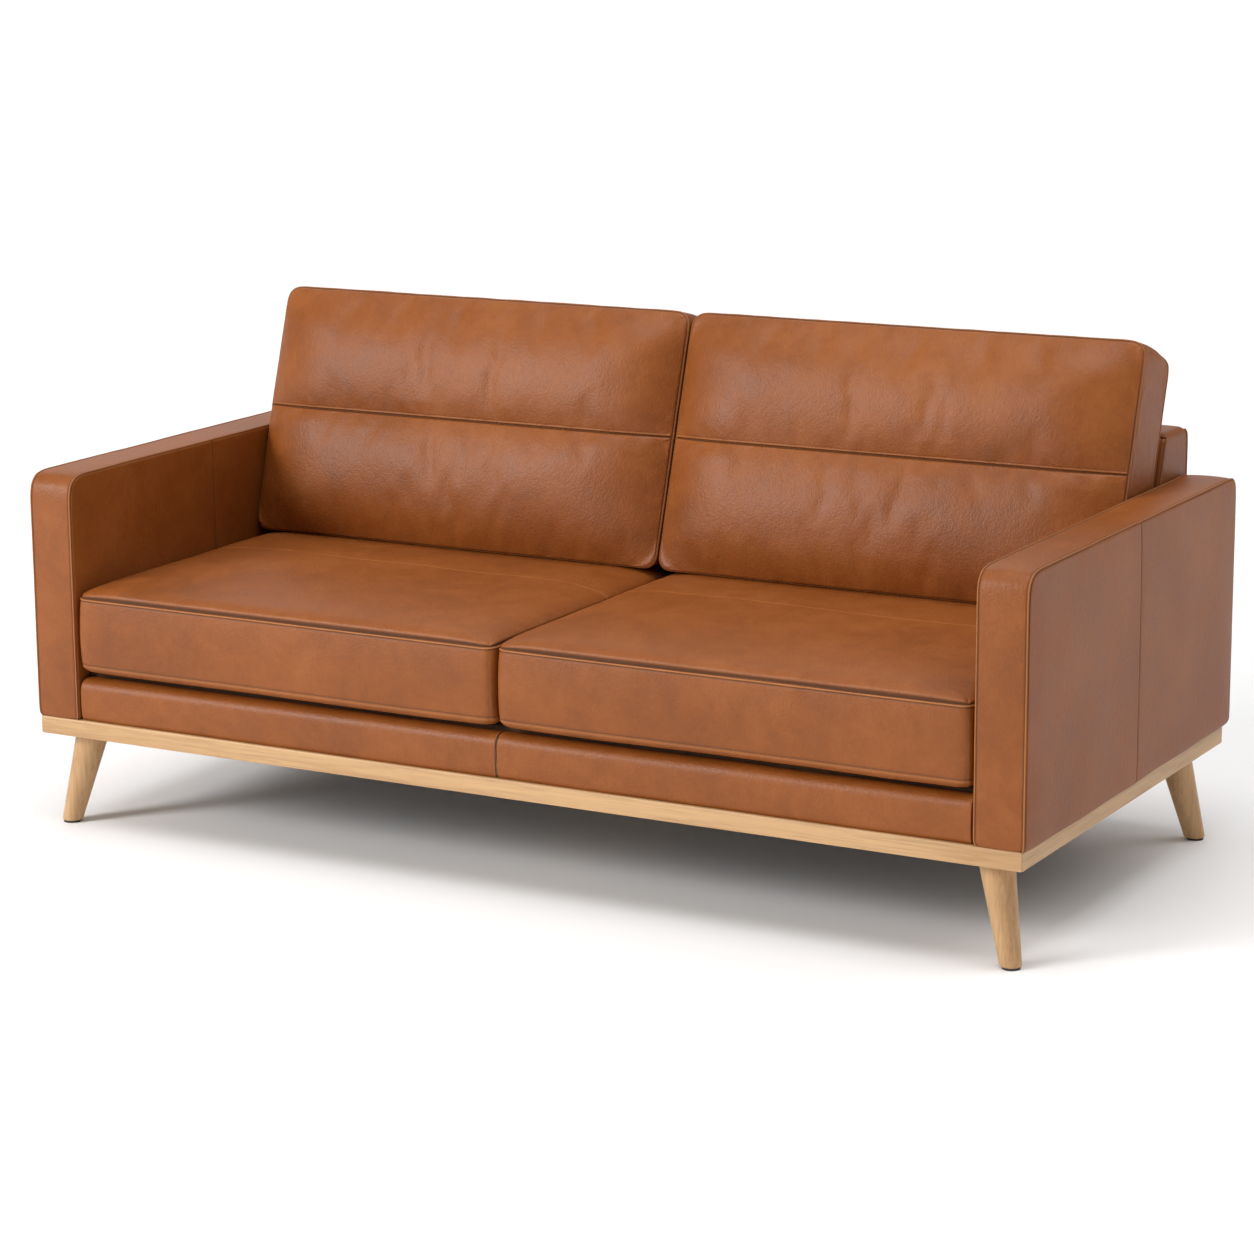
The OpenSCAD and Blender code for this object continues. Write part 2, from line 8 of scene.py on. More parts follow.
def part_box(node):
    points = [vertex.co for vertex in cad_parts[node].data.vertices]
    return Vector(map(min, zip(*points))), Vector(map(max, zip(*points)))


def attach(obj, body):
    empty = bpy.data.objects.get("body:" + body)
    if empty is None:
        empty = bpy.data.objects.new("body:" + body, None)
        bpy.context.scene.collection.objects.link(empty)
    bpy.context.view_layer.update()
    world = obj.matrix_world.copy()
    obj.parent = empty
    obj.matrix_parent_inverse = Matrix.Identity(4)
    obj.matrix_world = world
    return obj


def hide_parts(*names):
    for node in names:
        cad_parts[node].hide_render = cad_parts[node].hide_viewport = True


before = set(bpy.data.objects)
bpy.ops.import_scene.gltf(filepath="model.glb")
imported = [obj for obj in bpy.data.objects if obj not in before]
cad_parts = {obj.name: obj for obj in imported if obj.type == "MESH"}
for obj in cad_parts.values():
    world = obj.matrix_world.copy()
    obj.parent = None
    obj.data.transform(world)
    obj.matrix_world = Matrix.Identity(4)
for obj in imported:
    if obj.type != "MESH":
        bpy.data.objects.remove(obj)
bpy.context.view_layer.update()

bl_info = {
    "name": "Leather sofa on an oak base",
    "version": (1, 0, 0),
    "blender": (4, 5, 0),
    "location": "View3D > Sidebar > Sofa",
    "description": "Two-seat leather sofa with loose cushions on an oak base with splayed legs",
    "category": "Object",
}

SIDES = ("left", "right")
TINY = 1e-5

# Distances from a seam, in metres, at which a skin is sliced so that its lip can be formed.
# A foam pad has no lip, and needs only the coarse ones.
NEAR_SEAM = (0.0007, 0.0015, 0.0026, 0.0038, 0.0046, 0.0054, 0.0062, 0.0085, 0.013, 0.021)
COARSE_SEAM = (0.008, 0.02)
STITCH_LINE = 0.0054
LIP_START = 0.0008
LIP_WIDTH = 0.0040

# The form of a seam, in metres: how the skin rolls in towards it, the groove along it and the
# shade painted in it, the dip that the thread pulls along the stitch line and the shade painted
# along it, and where a highlight is painted on a lip and beside a seam
SEAM_REACH = 0.030
ROLL = 0.0019
ROLL_REACH = 0.006
GROOVE_DEPTH = 0.0014
GROOVE_WIDTH = 0.0009
SEAM_SHADE_WIDTH = 0.0016
THREAD_DIP = 0.0010
THREAD_DIP_WIDTH = 0.0008
THREAD_SHADE = 0.80
THREAD_SHADE_WIDTH = 0.0009
LIP_HIGHLIGHT_PLACE = 0.0029
LIP_HIGHLIGHT_WIDTH = 0.0013
EDGE_HIGHLIGHT_PLACE = 0.0036
EDGE_HIGHLIGHT_WIDTH = 0.0014

# A seam less deep than this is a light line, a painted highlight with no painted shade, and a lip
# less full than 1 has a slighter thread
SLIGHT_SEAM = 0.5
SLIGHT_THREAD = 0.3

SWELL_FRAMES = 20

STITCH_LONG = 0.0046
STITCH_THICK = 0.00055
STITCH_SINK = 0.0002

LEATHER_THICK = 0.0016
PAD_THICK = 0.0055

# The seat cushion: where its cross seam is in depth, how high its low seam is, the rounding
# of its foot, how far its sides and front bulge, and how much smaller its foam is
SEAT_CROSS_SEAM = -0.065
SEAT_CROSS_REACH = 0.009
SEAT_LOW_SEAM = 0.017
SEAT_FOOT_R = 0.016
SEAT_SIDE_BULGE = 0.0015
SEAT_FRONT_BULGE = 0.0055
SEAT_CORE_INSET = 0.0042

# The back cushion: it leans back with the fixed back, and its foot is level
LEAN = math.radians(17.5)
BACK_T = 0.136
BACK_H = 0.468
BACK_R = 0.028
BACK_FOOT_R = 0.024
MIDDLE_SEAM = 0.240
ZIP_HEIGHT = BACK_H / 3
BACK_SIDE_BULGE = 0.0012
BACK_TOP_BULGE = 0.005
BACK_REAR_PUFF = 0.004
BACK_CORE_INSET = 0.0060

# The arm: its front and back edges, its inner side's upright seam, how high its leather
# starts to tuck in at the foot and by how much
ARM_FRONT_R = 0.038
ARM_BACK_R = 0.025
ARM_INNER_SEAM = -0.030
ARM_INSET = 0.006
TUCK_HEIGHT = 0.010
TUCK = 0.0035

APRON_R = 0.018
APRON_INSET = 0.004

# The fixed back: its top edges, its depth at the top, the rounding of its ends, and the
# height of the seat deck, above which it is padded
BACK_TOP_R = 0.020
BACK_TOP_DEPTH = 0.108
BACK_END_R = 0.014
BACK_DECK_Z = 0.271
BACK_PAD_INSET = 0.006

# The legs: width at the foot and at the top, and how far each foot stands out
FOOT_WIDTH = 0.035
TOP_WIDTH = 0.059
SPLAY = (0.038, 0.024)
GLIDE_R = 0.0145

STRAP_WIDTH = 0.060
SEAT_STRAPS = 14
BACK_STRAPS = 10
STRAP_THICK = 0.003

ZIP_END = 0.060
ZIP_PITCH = 0.0028


def low_of(node):
    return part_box(node)[0]


def high_of(node):
    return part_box(node)[1]


# ---- settings ----

class SofaLeather(bpy.types.PropertyGroup):
    """The leather and its seams"""
    colour: bpy.props.FloatVectorProperty(
        name="Leather", description="Colour of the leather", subtype="COLOR", size=3,
        default=(0.248, 0.0670, 0.0085), min=0, max=1)
    dark: bpy.props.FloatVectorProperty(
        name="Dark tone", description="Colour of the hide's darker clouds", subtype="COLOR",
        size=3, default=(0.198, 0.0530, 0.0070), min=0, max=1)
    light: bpy.props.FloatVectorProperty(
        name="Light tone", description="Colour of the hide's lighter clouds", subtype="COLOR",
        size=3, default=(0.300, 0.0890, 0.0150), min=0, max=1)
    # Painted shade: the colour painted into the bottom of a seam and along its stitch line
    seam_shade_colour: bpy.props.FloatVectorProperty(
        name="Crease", description="Colour of the shade painted in seams and along stitch lines", subtype="COLOR", size=3,
        default=(0.070, 0.024, 0.006), min=0, max=1)
    # Painted highlight: the colour painted on the crest of a lip and beside a seam
    seam_highlight_colour: bpy.props.FloatVectorProperty(
        name="Lip highlight", description="Colour of the highlight painted on a lip and beside a seam", subtype="COLOR",
        size=3, default=(0.52, 0.19, 0.050), min=0, max=1)
    roughness: bpy.props.FloatProperty(
        name="Roughness", description="Roughness of the finish", default=0.47, min=0, max=1)
    grain: bpy.props.FloatProperty(
        name="Grain", description="Width of one pebble of the grain", default=0.0034,
        min=0.0005, max=0.01, unit="LENGTH")
    lip: bpy.props.FloatProperty(
        name="Lip height", description="Height of the lip beside a seam", default=0.0016,
        min=0, max=0.004, unit="LENGTH")
    pitch: bpy.props.FloatProperty(
        name="Stitch pitch", description="Distance from one stitch to the next",
        default=0.0068, min=0.003, max=0.015, unit="LENGTH")


class SofaCushions(bpy.types.PropertyGroup):
    """The loose cushions"""
    seat_crown: bpy.props.FloatProperty(
        name="Seat crown", description="Rise of a seat cushion above its front seam",
        default=0.025, min=0, max=0.05, unit="LENGTH")
    seat_swell: bpy.props.FloatProperty(
        name="Seat swell", description="Most that a seat's leather swells under pressure",
        default=0.007, min=0, max=0.03, unit="LENGTH")
    back_crown: bpy.props.FloatProperty(
        name="Back crown", description="Rise of a back cushion's front above its seams",
        default=0.047, min=0, max=0.06, unit="LENGTH")
    back_swell: bpy.props.FloatProperty(
        name="Back swell", description="Most that a back's leather swells under pressure",
        default=0.008, min=0, max=0.03, unit="LENGTH")
    plump: bpy.props.FloatProperty(
        name="Uneven filling", description="How much fuller a back cushion's end is",
        default=0.012, min=0, max=0.03, unit="LENGTH")
    corner: bpy.props.FloatProperty(
        name="Corner radius", description="Radius of a seat cushion's upright corners",
        default=0.022, min=0.005, max=0.06, unit="LENGTH")


class SofaTimber(bpy.types.PropertyGroup):
    """The oak base and legs"""
    oak: bpy.props.FloatVectorProperty(
        name="Oak", description="Colour of the oak", subtype="COLOR", size=3,
        default=(0.560, 0.340, 0.165), min=0, max=1)
    grain: bpy.props.FloatVectorProperty(
        name="Oak grain", description="Colour of the oak's darker grain", subtype="COLOR",
        size=3, default=(0.405, 0.222, 0.096), min=0, max=1)
    edge: bpy.props.FloatProperty(
        name="Edge radius", description="Rounding of the oak's edges", default=0.0022,
        min=0.0005, max=0.006, unit="LENGTH")


class SofaStage(bpy.types.PropertyGroup):
    """The floor, the light and the camera"""
    floor: bpy.props.FloatVectorProperty(
        name="Floor", description="Colour of the floor", subtype="COLOR", size=3,
        default=(0.93, 0.93, 0.93), min=0, max=1)
    room: bpy.props.FloatProperty(
        name="Room light", description="Strength of the even light of the room",
        default=0.29, min=0, max=5)
    lights: bpy.props.FloatProperty(
        name="Lights", description="Strength of all the soft lights together", default=0.68,
        min=0, max=10)
    softbox: bpy.props.FloatProperty(
        name="Softbox", description="Power of the softbox in front on the left", default=222,
        min=0, max=2000, unit="POWER")
    lens: bpy.props.FloatProperty(
        name="Lens", description="Focal length on a 36 mm frame", default=103.676, min=10,
        max=300)


SETTINGS = {
    "sofa_leather": SofaLeather,
    "sofa_cushions": SofaCushions,
    "sofa_timber": SofaTimber,
    "sofa_stage": SofaStage,
}


# ---- shaping ----

def places(low, high, size, near_low=(), near_high=()):
    """Places for slices between two ends: the given distances from each end, then evenly."""
    start = low + (near_low[-1] if near_low else 0)
    end = high - (near_high[-1] if near_high else 0)
    count = max(1, round((end - start) / size))
    found = [low + d for d in near_low] + [high - d for d in near_high]
    found += [start + (end - start) * i / count for i in range(count + 1)]
    return sorted({round(p, 6) for p in found if low + TINY < p < high - TINY})


def sliced_block(low, high, cuts):
    """A closed block sliced at the given places along X, Y and Z. Each point keeps where it
    was drawn in the layer called drawn."""
    bm = bmesh.new()
    bmesh.ops.create_cube(bm, size=1)
    for v in bm.verts:
        v.co = Vector([high[i] if v.co[i] > 0 else low[i] for i in range(3)])
    for axis in range(3):
        normal = Vector([float(axis == i) for i in range(3)])
        for place in cuts[axis]:
            bmesh.ops.bisect_plane(
                bm, geom=bm.verts[:] + bm.edges[:] + bm.faces[:],
                plane_co=normal * place, plane_no=normal, dist=1e-7)
    drawn = bm.verts.layers.float_vector.new("drawn")
    for v in bm.verts:
        v[drawn] = v.co
    return bm


def shape(bm, rule):
    drawn = bm.verts.layers.float_vector["drawn"]
    for v in bm.verts:
        v.co = rule(v[drawn])
    bm.normal_update()


def round_corner(u, v, centre_u, centre_v, to_u, to_v):
    """Moves a point of a square corner onto the circles about the corner's centre."""
    du = (u - centre_u) * to_u
    dv = (v - centre_v) * to_v
    if du <= 0 or dv <= 0:
        return u, v
    k = max(du, dv) / math.hypot(du, dv)
    return centre_u + to_u * du * k, centre_v + to_v * dv * k


def mound(s, run, power=2.0):
    """From 0 at a seam to 1 at run from it, steepest at the seam."""
    t = min(1.0, max(0.0, s / run))
    return 1 - (1 - t) ** power


def quarter_round(s, run):
    """From 0 at a seam to 1 at run from it, on a quarter of an ellipse."""
    t = min(1.0, max(0.0, s / run))
    return math.sqrt(1 - (1 - t) ** 2)


def bell(s, centre, width):
    return math.exp(-((s - centre) / width) ** 2)


def sew(bm, seam_at):
    """Rolls the skin in at its seams and raises the stitched lip on the lip side. seam_at
    takes a drawn point and gives how far the nearest seam is, how full the lip is there and
    how deep the seam is, the last two from 0 to 1."""
    leather = bpy.context.scene.sofa_leather
    drawn = bm.verts.layers.float_vector["drawn"]
    seam_shade = bm.verts.layers.float.new("seam_shade")
    seam_highlight = bm.verts.layers.float.new("seam_highlight")
    bm.normal_update()
    for v in bm.verts:
        s, lip, depth = seam_at(v[drawn])
        if s >= SEAM_REACH:
            continue
        height = 0.0
        if s < ROLL_REACH:
            height -= ROLL * depth * (1 - s / ROLL_REACH) ** 2
        height -= GROOVE_DEPTH * depth * bell(s, 0, GROOVE_WIDTH)
        # Painted shade in the bottom of the seam
        v[seam_shade] = depth * bell(s, 0, SEAM_SHADE_WIDTH)
        if lip:
            if LIP_START < s < LIP_START + LIP_WIDTH:
                rise = math.sin(math.pi * (s - LIP_START) / LIP_WIDTH) ** 0.8
                height += leather.lip * lip * rise
            thread = 1.0 if lip == 1 else SLIGHT_THREAD
            height -= THREAD_DIP * thread * bell(s, STITCH_LINE, THREAD_DIP_WIDTH)
            # Painted shade along the stitch line
            v[seam_shade] += THREAD_SHADE * thread * bell(s, STITCH_LINE, THREAD_SHADE_WIDTH)
            # Painted highlight on the crest of the lip
            v[seam_highlight] = lip * bell(s, LIP_HIGHLIGHT_PLACE, LIP_HIGHLIGHT_WIDTH)
        elif depth < SLIGHT_SEAM:
            # A slight seam gets a painted highlight line along it and no painted shade
            v[seam_highlight] = 0.55 * bell(s, 0, EDGE_HIGHLIGHT_WIDTH)
            v[seam_shade] = 0.0
        else:
            # A faint painted highlight beside a plain seam
            v[seam_highlight] = 0.15 * depth * bell(s, EDGE_HIGHLIGHT_PLACE, EDGE_HIGHLIGHT_WIDTH)
        v.co += v.normal * height
    bm.normal_update()


def pucker(bm, seam_at, along, height, reach, wave, seed):
    """Soft gathers that run out from the seams. along gives how far a drawn point is along
    its seam."""
    drawn = bm.verts.layers.float_vector["drawn"]
    for v in bm.verts:
        s = seam_at(v[drawn])[0]
        fade = mound(s, 0.010) * math.exp(-s / reach)
        value = noise.noise(Vector((along(v[drawn]) / wave, seed, s * 6)))
        value += 0.5 * noise.noise(Vector((along(v[drawn]) / wave * 2.3, seed + 7, s * 9)))
        v.co += v.normal * height * fade * value * 2
    bm.normal_update()


def settle(bm, height, size, seed, hold=lambda p: 1.0):
    """Slow, uneven rises and dips, as in a filled cushion."""
    drawn = bm.verts.layers.float_vector["drawn"]
    for v in bm.verts:
        p = v[drawn] / size + Vector((seed, seed * 2, 0))
        v.co += v.normal * height * hold(v[drawn]) * noise.noise(p)
    bm.normal_update()


def swell(bm, most, held):
    """Fills a closed skin under pressure, with its seams held, and keeps the result to most.
    held takes a drawn point and gives from 0, free, to 1, held."""
    if most <= 0:
        return
    drawn = bm.verts.layers.float_vector["drawn"]
    scene = bpy.context.scene
    mesh = bpy.data.meshes.new("swelling")
    bm.to_mesh(mesh)
    skin = bpy.data.objects.new("swelling", mesh)
    scene.collection.objects.link(skin)
    group = skin.vertex_groups.new(name="held")
    for v in bm.verts:
        weight = held(v[drawn])
        if weight > 0:
            group.add([v.index], weight, "REPLACE")
    cloth = skin.modifiers.new("swelling", "CLOTH")
    cloth.settings.vertex_group_mass = "held"
    cloth.settings.quality = 4
    cloth.settings.use_pressure = True
    cloth.settings.uniform_pressure_force = 4
    cloth.settings.effector_weights.gravity = 0
    cloth.settings.tension_stiffness = 12
    cloth.settings.compression_stiffness = 12
    cloth.settings.bending_stiffness = 0.6
    cloth.settings.shrink_min = -0.012
    cloth.collision_settings.use_collision = False
    cloth.point_cache.frame_start = 1
    cloth.point_cache.frame_end = SWELL_FRAMES
    for number in range(1, SWELL_FRAMES + 1):
        scene.frame_set(number)
    filled = skin.evaluated_get(bpy.context.evaluated_depsgraph_get()).data
    shifts = [filled.vertices[v.index].co - v.co for v in bm.verts]
    largest = max(shift.length for shift in shifts)
    print("swelling", round(largest, 4))
    gain = min(1.0, most / largest) if largest > 0 else 0
    for v, shift in zip(bm.verts, shifts):
        v.co += shift * gain
    bpy.data.objects.remove(skin)
    bpy.data.meshes.remove(mesh)
    scene.frame_set(1)
    bm.normal_update()


def on_side(bm, side):
    """Forms are drawn for the right, and mirrored for the left. Where each point was drawn
    stays as it was."""
    if side == "left":
        bmesh.ops.scale(bm, vec=(-1, 1, 1), verts=bm.verts)
        bmesh.ops.reverse_faces(bm, faces=bm.faces)
        bm.normal_update()


def part_of(bm, keep):
    """A copy with only the faces whose drawn middle passes the test."""
    copy = bm.copy()
    drawn = copy.verts.layers.float_vector["drawn"]
    dropped = []
    for face in copy.faces:
        middle = sum((v[drawn] for v in face.verts), Vector()) / len(face.verts)
        if not keep(middle):
            dropped.append(face)
    bmesh.ops.delete(copy, geom=dropped, context="FACES")
    return copy


def line_on(bm, on_line, order):
    """The points of a line of the grid, as (place, normal), in order along it."""
    drawn = bm.verts.layers.float_vector["drawn"]
    found = [(order(v[drawn]), v.co.copy(), v.normal.copy())
             for v in bm.verts if on_line(v[drawn])]
    found.sort(key=lambda item: item[0])
    return [(place, normal) for _, place, normal in found]


def stitches(bm, line, pitch, sink=STITCH_SINK):
    """Short stitches along a line of (place, normal), sunk a little into the leather."""
    travelled = 0.0
    due = pitch / 2
    for (a, normal_a), (b, normal_b) in zip(line, line[1:]):
        step = (b - a).length
        if step < 1e-7:
            continue
        while due <= travelled + step:
            t = (due - travelled) / step
            run = (b - a).normalized()
            up = normal_a.lerp(normal_b, t).normalized()
            across = up.cross(run).normalized()
            up = run.cross(across)
            turn = Matrix((run, across, up)).transposed().to_4x4()
            size = Matrix.Diagonal((STITCH_LONG / 2, STITCH_THICK, STITCH_THICK, 1))
            spot = Matrix.Translation(a.lerp(b, t) - up * sink)
            bmesh.ops.create_icosphere(bm, subdivisions=1, radius=1, matrix=spot @ turn @ size)
            due += pitch
        travelled += step


# ---- pieces ----

def add_piece(bm, name, material, body, stands_for=(), levels=0, thickness=0.0,
              hide=None, smooth=True):
    """Makes the finished piece: its mesh, material, body and the CAD nodes it stands for."""
    drawn = bm.verts.layers.float_vector.get("drawn")
    if drawn:
        bm.verts.layers.float_vector.remove(drawn)
    if hide is not None:
        layer = bm.verts.layers.float.new("hide")
        for v in bm.verts:
            v[layer] = hide
    for face in bm.faces:
        face.smooth = smooth
    mesh = bpy.data.meshes.new(name)
    bm.to_mesh(mesh)
    bm.free()
    mesh.materials.append(material)
    piece = bpy.data.objects.new(name, mesh)
    bpy.context.scene.collection.objects.link(piece)
    if levels:
        smoothing = piece.modifiers.new("smoothing", "SUBSURF")
        smoothing.levels = levels
        smoothing.render_levels = levels
    if thickness:
        wall = piece.modifiers.new("thickness", "SOLIDIFY")
        wall.thickness = thickness
        wall.offset = -1
    if stands_for:
        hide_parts(*stands_for)
    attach(piece, body)
    return piece


def bevelled(bm, width):
    bmesh.ops.bevel(
        bm, geom=bm.edges[:], offset=width, offset_type="OFFSET", segments=3,
        profile=0.5, affect="EDGES", clamp_overlap=True, material=-1)


def add_cushion(cover, thread, foam, kind, side, seed):
    """Makes a loose cushion's pieces of its three meshes."""
    body = f"{kind}_cushion_{side}"
    leather = add_piece(
        cover, f"{kind}_{side}_cushion_leather", material("leather"), body,
        [f"{kind}_{side}_cover"], levels=1, hide=seed)
    add_piece(thread, f"{kind}_{side}_cushion_stitches", material("thread"), body)
    core = add_piece(
        foam, f"{kind}_{side}_cushion_foam", material("foam"), body,
        [f"{kind}_{side}_core"], levels=1)


# ---- materials ----

class Nodes:
    """Builds one material's nodes."""

    def __init__(self, name):
        self.material = bpy.data.materials.new(name)
        self.material.use_nodes = True
        self.tree = self.material.node_tree
        self.tree.nodes.clear()
        self.output = self.add("ShaderNodeOutputMaterial")
        self.shader = self.add("ShaderNodeBsdfPrincipled")
        self.link(self.shader.outputs[0], self.output.inputs[0])
        self.place = self.add("ShaderNodeTexCoord").outputs["Object"]

    def add(self, kind, **values):
        made = self.tree.nodes.new(kind)
        for key, value in values.items():
            setattr(made, key, value)
        return made

    def link(self, a, b):
        self.tree.links.new(a, b)

    def value(self, socket, given):
        if isinstance(given, bpy.types.NodeSocket):
            self.link(given, socket)
        else:
            socket.default_value = given

    def mapped(self, scale, turn=(0, 0, 0)):
        mapping = self.add("ShaderNodeMapping")
        self.link(self.place, mapping.inputs["Vector"])
        mapping.inputs["Scale"].default_value = scale
        mapping.inputs["Rotation"].default_value = turn
        return mapping.outputs[0]

    def noise(self, vector, scale, detail=3.0, rough=0.5, warp=0.0, w=None):
        made = self.add("ShaderNodeTexNoise", noise_dimensions="4D" if w else "3D")
        self.link(vector, made.inputs["Vector"])
        made.inputs["Scale"].default_value = scale
        made.inputs["Detail"].default_value = detail
        made.inputs["Roughness"].default_value = rough
        made.inputs["Distortion"].default_value = warp
        if w:
            self.link(w, made.inputs["W"])
        return made.outputs["Fac"]

    def maths(self, kind, a, b, clamp=False):
        made = self.add("ShaderNodeMath", operation=kind, use_clamp=clamp)
        self.value(made.inputs[0], a)
        self.value(made.inputs[1], b)
        return made.outputs[0]

    def ramp(self, factor, stops):
        made = self.add("ShaderNodeValToRGB")
        self.link(factor, made.inputs["Fac"])
        points = made.color_ramp.elements
        while len(points) < len(stops):
            points.new(0.5)
        for point, (position, colour) in zip(points, stops):
            point.position = position
            point.color = (*colour, 1)
        return made.outputs["Color"]

    def mix(self, factor, a, b):
        made = self.add("ShaderNodeMix", data_type="RGBA")
        self.value(made.inputs["Factor"], factor)
        colours = [s for s in made.inputs if s.type == "RGBA"]
        for socket, given in zip(colours, (a, b)):
            if isinstance(given, bpy.types.NodeSocket):
                self.link(given, socket)
            else:
                socket.default_value = (*given, 1)
        return [s for s in made.outputs if s.type == "RGBA"][0]

    def attribute(self, name):
        return self.add("ShaderNodeAttribute", attribute_name=name).outputs["Fac"]

    def bump(self, height, distance, strength, before=None):
        made = self.add("ShaderNodeBump")
        made.inputs["Strength"].default_value = strength
        made.inputs["Distance"].default_value = distance
        self.link(height, made.inputs["Height"])
        if before:
            self.link(before, made.inputs["Normal"])
        return made.outputs["Normal"]

    def finish(self, colour, roughness, normal=None, metallic=0.0, specular=0.5):
        self.value(self.shader.inputs["Base Color"], colour)
        self.value(self.shader.inputs["Roughness"], roughness)
        self.shader.inputs["Metallic"].default_value = metallic
        self.shader.inputs["Specular IOR Level"].default_value = specular
        if normal:
            self.link(normal, self.shader.inputs["Normal"])
        return self.material


def leather_material():
    leather = bpy.context.scene.sofa_leather
    n = Nodes("leather")
    hide = n.attribute("hide")
    cloud = n.noise(n.place, 3.4, 3, 0.55, 0.6, hide)
    patch = n.noise(n.place, 15, 4, 0.55, 0.9, hide)
    fleck = n.noise(n.place, 90, 3, 0.6)
    tone = n.maths("MULTIPLY", cloud, 0.45)
    tone = n.maths("ADD", tone, n.maths("MULTIPLY", patch, 0.40))
    tone = n.maths("ADD", tone, n.maths("MULTIPLY", fleck, 0.15))
    colour = n.ramp(tone, [(0.36, leather.dark), (0.50, leather.colour), (0.66, leather.light)])
    # Painted highlight on seam lips and beside seams
    colour = n.mix(n.maths("MULTIPLY", n.attribute("seam_highlight"), 0.75, True), colour, leather.seam_highlight_colour)
    # Painted shade in the bottom of seams and along stitch lines
    colour = n.mix(n.maths("MULTIPLY", n.attribute("seam_shade"), 0.95, True), colour, leather.seam_shade_colour)
    warp = n.noise(n.place, 160, 2, 0.5)
    pebble = n.add("ShaderNodeTexVoronoi", feature="SMOOTH_F1")
    n.link(n.place, pebble.inputs["Vector"])
    pebble.inputs["Scale"].default_value = 1 / leather.grain
    pebble.inputs["Smoothness"].default_value = 0.6
    pebbles = n.maths("SUBTRACT", n.maths("MULTIPLY", warp, 0.8), pebble.outputs["Distance"])
    wrinkle = n.noise(n.mapped((1, 1, 0.55), (0, 0.5, 0)), 120, 3, 0.55, 0.8, hide)
    normal = n.bump(wrinkle, 0.0013, 0.50)
    normal = n.bump(pebbles, 0.0007, 0.50, normal)
    rough = n.maths("ADD", n.maths("MULTIPLY", patch, 0.16), leather.roughness - 0.08)
    rough = n.maths("ADD", rough, n.maths("MULTIPLY", n.attribute("seam_shade"), 0.3), True)
    return n.finish(colour, rough, normal, specular=0.35)


def thread_material():
    n = Nodes("thread")
    twist = n.noise(n.place, 900, 2)
    colour = n.ramp(twist, [(0.3, (0.14, 0.040, 0.008)), (0.7, (0.27, 0.085, 0.018))])
    return n.finish(colour, 0.55, n.bump(twist, 0.0003, 0.5))


def stretched(along, share):
    """The scale of a pattern that is drawn out along one axis."""
    return [share if axis == along else 1.0 for axis in range(3)]


def timber_material(name, along, light, dark, rough=0.42):
    """Straight-grained timber. along is the axis that the grain follows."""
    n = Nodes(name)
    grain = n.mapped(stretched(along, 0.045))
    broad = n.noise(grain, 26, 4, 0.55, 0.8)
    fine = n.noise(grain, 170, 4, 0.65, 0.3)
    pores = n.noise(n.mapped(stretched(along, 0.02)), 420, 2, 0.5)
    mixed = n.maths("ADD", n.maths("MULTIPLY", broad, 0.55), n.maths("MULTIPLY", fine, 0.45))
    middle = [(a + b) / 2 for a, b in zip(light, dark)]
    pale = [min(1, c * 1.12) for c in light]
    colour = n.ramp(mixed, [(0.34, dark), (0.45, middle), (0.54, light), (0.68, pale)])
    pore = n.ramp(pores, [(0.33, (1, 1, 1)), (0.42, (0, 0, 0))])
    colour = n.mix(n.maths("MULTIPLY", pore, 0.28), colour, [c * 0.55 for c in dark])
    normal = n.bump(n.maths("ADD", mixed, n.maths("MULTIPLY", pores, 0.4)), 0.0006, 0.35)
    roughness = n.maths("ADD", n.maths("MULTIPLY", fine, 0.15), rough - 0.07)
    return n.finish(colour, roughness, normal, specular=0.4)


def plywood_material():
    n = Nodes("plywood")
    plies = n.add("ShaderNodeTexWave", wave_type="BANDS", bands_direction="X")
    n.link(n.place, plies.inputs["Vector"])
    plies.inputs["Scale"].default_value = 110
    plies.inputs["Distortion"].default_value = 0.6
    grain = n.noise(n.mapped((1, 1, 0.08)), 90, 4)
    tone = n.maths("ADD", n.maths("MULTIPLY", plies.outputs["Fac"], 0.35),
                   n.maths("MULTIPLY", grain, 0.65))
    colour = n.ramp(tone, [(0.25, (0.36, 0.22, 0.10)), (0.7, (0.66, 0.48, 0.27))])
    return n.finish(colour, 0.6, n.bump(tone, 0.0006, 0.4))


def woven_material(name, dark, light, threads):
    """A plain weave, from two crossed waves."""
    n = Nodes(name)
    waves = []
    for direction in ("X", "Y"):
        wave = n.add("ShaderNodeTexWave", wave_type="BANDS", bands_direction=direction)
        n.link(n.place, wave.inputs["Vector"])
        wave.inputs["Scale"].default_value = threads
        wave.inputs["Distortion"].default_value = 0.4
        waves.append(wave.outputs["Fac"])
    weave = n.maths("MULTIPLY", waves[0], waves[1])
    fuzz = n.noise(n.place, 60, 4)
    tone = n.maths("ADD", n.maths("MULTIPLY", weave, 0.6), n.maths("MULTIPLY", fuzz, 0.4))
    colour = n.ramp(tone, [(0.15, dark), (0.7, light)])
    return n.finish(colour, 0.8, n.bump(weave, 0.0006, 0.6), specular=0.2)


def foam_material():
    n = Nodes("foam")
    cells = n.add("ShaderNodeTexVoronoi", feature="F1")
    n.link(n.place, cells.inputs["Vector"])
    cells.inputs["Scale"].default_value = 480
    cloud = n.noise(n.place, 9, 3)
    colour = n.ramp(cloud, [(0.3, (0.70, 0.62, 0.40)), (0.7, (0.84, 0.78, 0.58))])
    return n.finish(colour, 0.9, n.bump(cells.outputs["Distance"], 0.0009, 0.6), specular=0.1)


